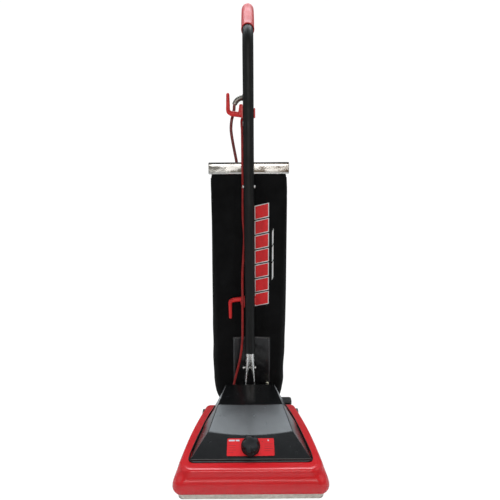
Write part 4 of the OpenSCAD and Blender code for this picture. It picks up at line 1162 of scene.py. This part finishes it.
room = tree.nodes.new("ShaderNodeMix")
room.data_type = "RGBA"
tree.links.new(swing("X", -0.12, 0.12, 0, 1), room.inputs["Factor"])
room.inputs["A"].default_value = (0.95, 0.93, 0.86, 1)
room.inputs["B"].default_value = (0.75, 0.52, 0.34, 1)
shade = tree.nodes.new("ShaderNodeMix")
shade.data_type = "RGBA"
tree.links.new(swing("Y", -0.9, -0.3, 0, 1), shade.inputs["Factor"])
tree.links.new(room.outputs["Result"], shade.inputs["A"])
shade.inputs["B"].default_value = (0.9, 0.94, 1.0, 1)
tree.links.new(shade.outputs["Result"], background.inputs["Color"])
tree.links.new(swing("Y", -0.35, 0.3, 0.2, 0.5), background.inputs["Strength"])
white = tree.nodes.new("ShaderNodeBackground")
white.inputs["Color"].default_value = (1, 1, 1, 1)
white.inputs["Strength"].default_value = 1.0
path = tree.nodes.new("ShaderNodeLightPath")
mixer = tree.nodes.new("ShaderNodeMixShader")
tree.links.new(path.outputs["Is Camera Ray"], mixer.inputs["Fac"])
tree.links.new(background.outputs["Background"], mixer.inputs[1])
tree.links.new(white.outputs["Background"], mixer.inputs[2])
tree.links.new(mixer.outputs["Shader"], tree.nodes["World Output"].inputs["Surface"])


def softbox(name, at, look, size, radiance, tint=(1, 1, 1)):
    data = bpy.data.lights.new(name, "AREA")
    data.shape = "RECTANGLE"
    data.size, data.size_y = size
    data.energy = radiance * math.pi * size[0] * size[1]
    data.color = tint
    obj = bpy.data.objects.new(name, data)
    scene.collection.objects.link(obj)
    obj.location = at
    obj.rotation_euler = (Vector(look) - Vector(at)).to_track_quat("-Z", "Y").to_euler()
    return obj


softbox("overhead", (0, 0.72, 2.7), (0, 0.5, 0), (2.4, 1.2), 6.5, (0.86, 0.94, 1))
softbox("front_high", (0, -2.6, 1.4), (0, 0, 0.35), (2.2, 0.7), 4.4)
softbox("left", (-2.4, -1.0, 1.6), (0, 0, 0.4), (1.6, 1.8), 0.6)
softbox("right", (2.4, -1.0, 1.6), (0, 0, 0.4), (1.6, 1.8), 0.6)
profile = [(-4, 0), (1.6, 0), (2.2, 0.05), (2.7, 0.25), (3.0, 0.7), (3.1, 1.4), (3.1, 5)]
sheet = bpy.data.meshes.new("floor")
sheet.from_pydata([(x, y, z) for y, z in profile for x in (-6, 6)], [],
                  [(2 * i, 2 * i + 1, 2 * i + 3, 2 * i + 2) for i in range(len(profile) - 1)])
sheet.polygons.foreach_set("use_smooth", [True] * len(sheet.polygons))
floor = bpy.data.objects.new("floor", sheet)
scene.collection.objects.link(floor)
FLOOR = material("floor_pale", (0.7, 0.7, 0.7), 0.8, spots=0.01, peel=0.05)
# the paper is lit from behind for the eye, so that the machine's shadow on it stays faint
tree = FLOOR.node_tree
glow = tree.nodes.new("ShaderNodeEmission")
glow.inputs["Strength"].default_value = 1.12
seen = tree.nodes.new("ShaderNodeLightPath")
share = tree.nodes.new("ShaderNodeMath")
share.operation = "MULTIPLY"
share.inputs[1].default_value = 0.9
tree.links.new(seen.outputs["Is Camera Ray"], share.inputs[0])
blend = tree.nodes.new("ShaderNodeMixShader")
tree.links.new(share.outputs["Value"], blend.inputs["Fac"])
tree.links.new(tree.nodes["Principled BSDF"].outputs["BSDF"], blend.inputs[1])
tree.links.new(glow.outputs["Emission"], blend.inputs[2])
tree.links.new(blend.outputs["Shader"], tree.nodes["Material Output"].inputs["Surface"])
floor.data.materials.append(FLOOR)
scene.view_settings.view_transform = "Standard"
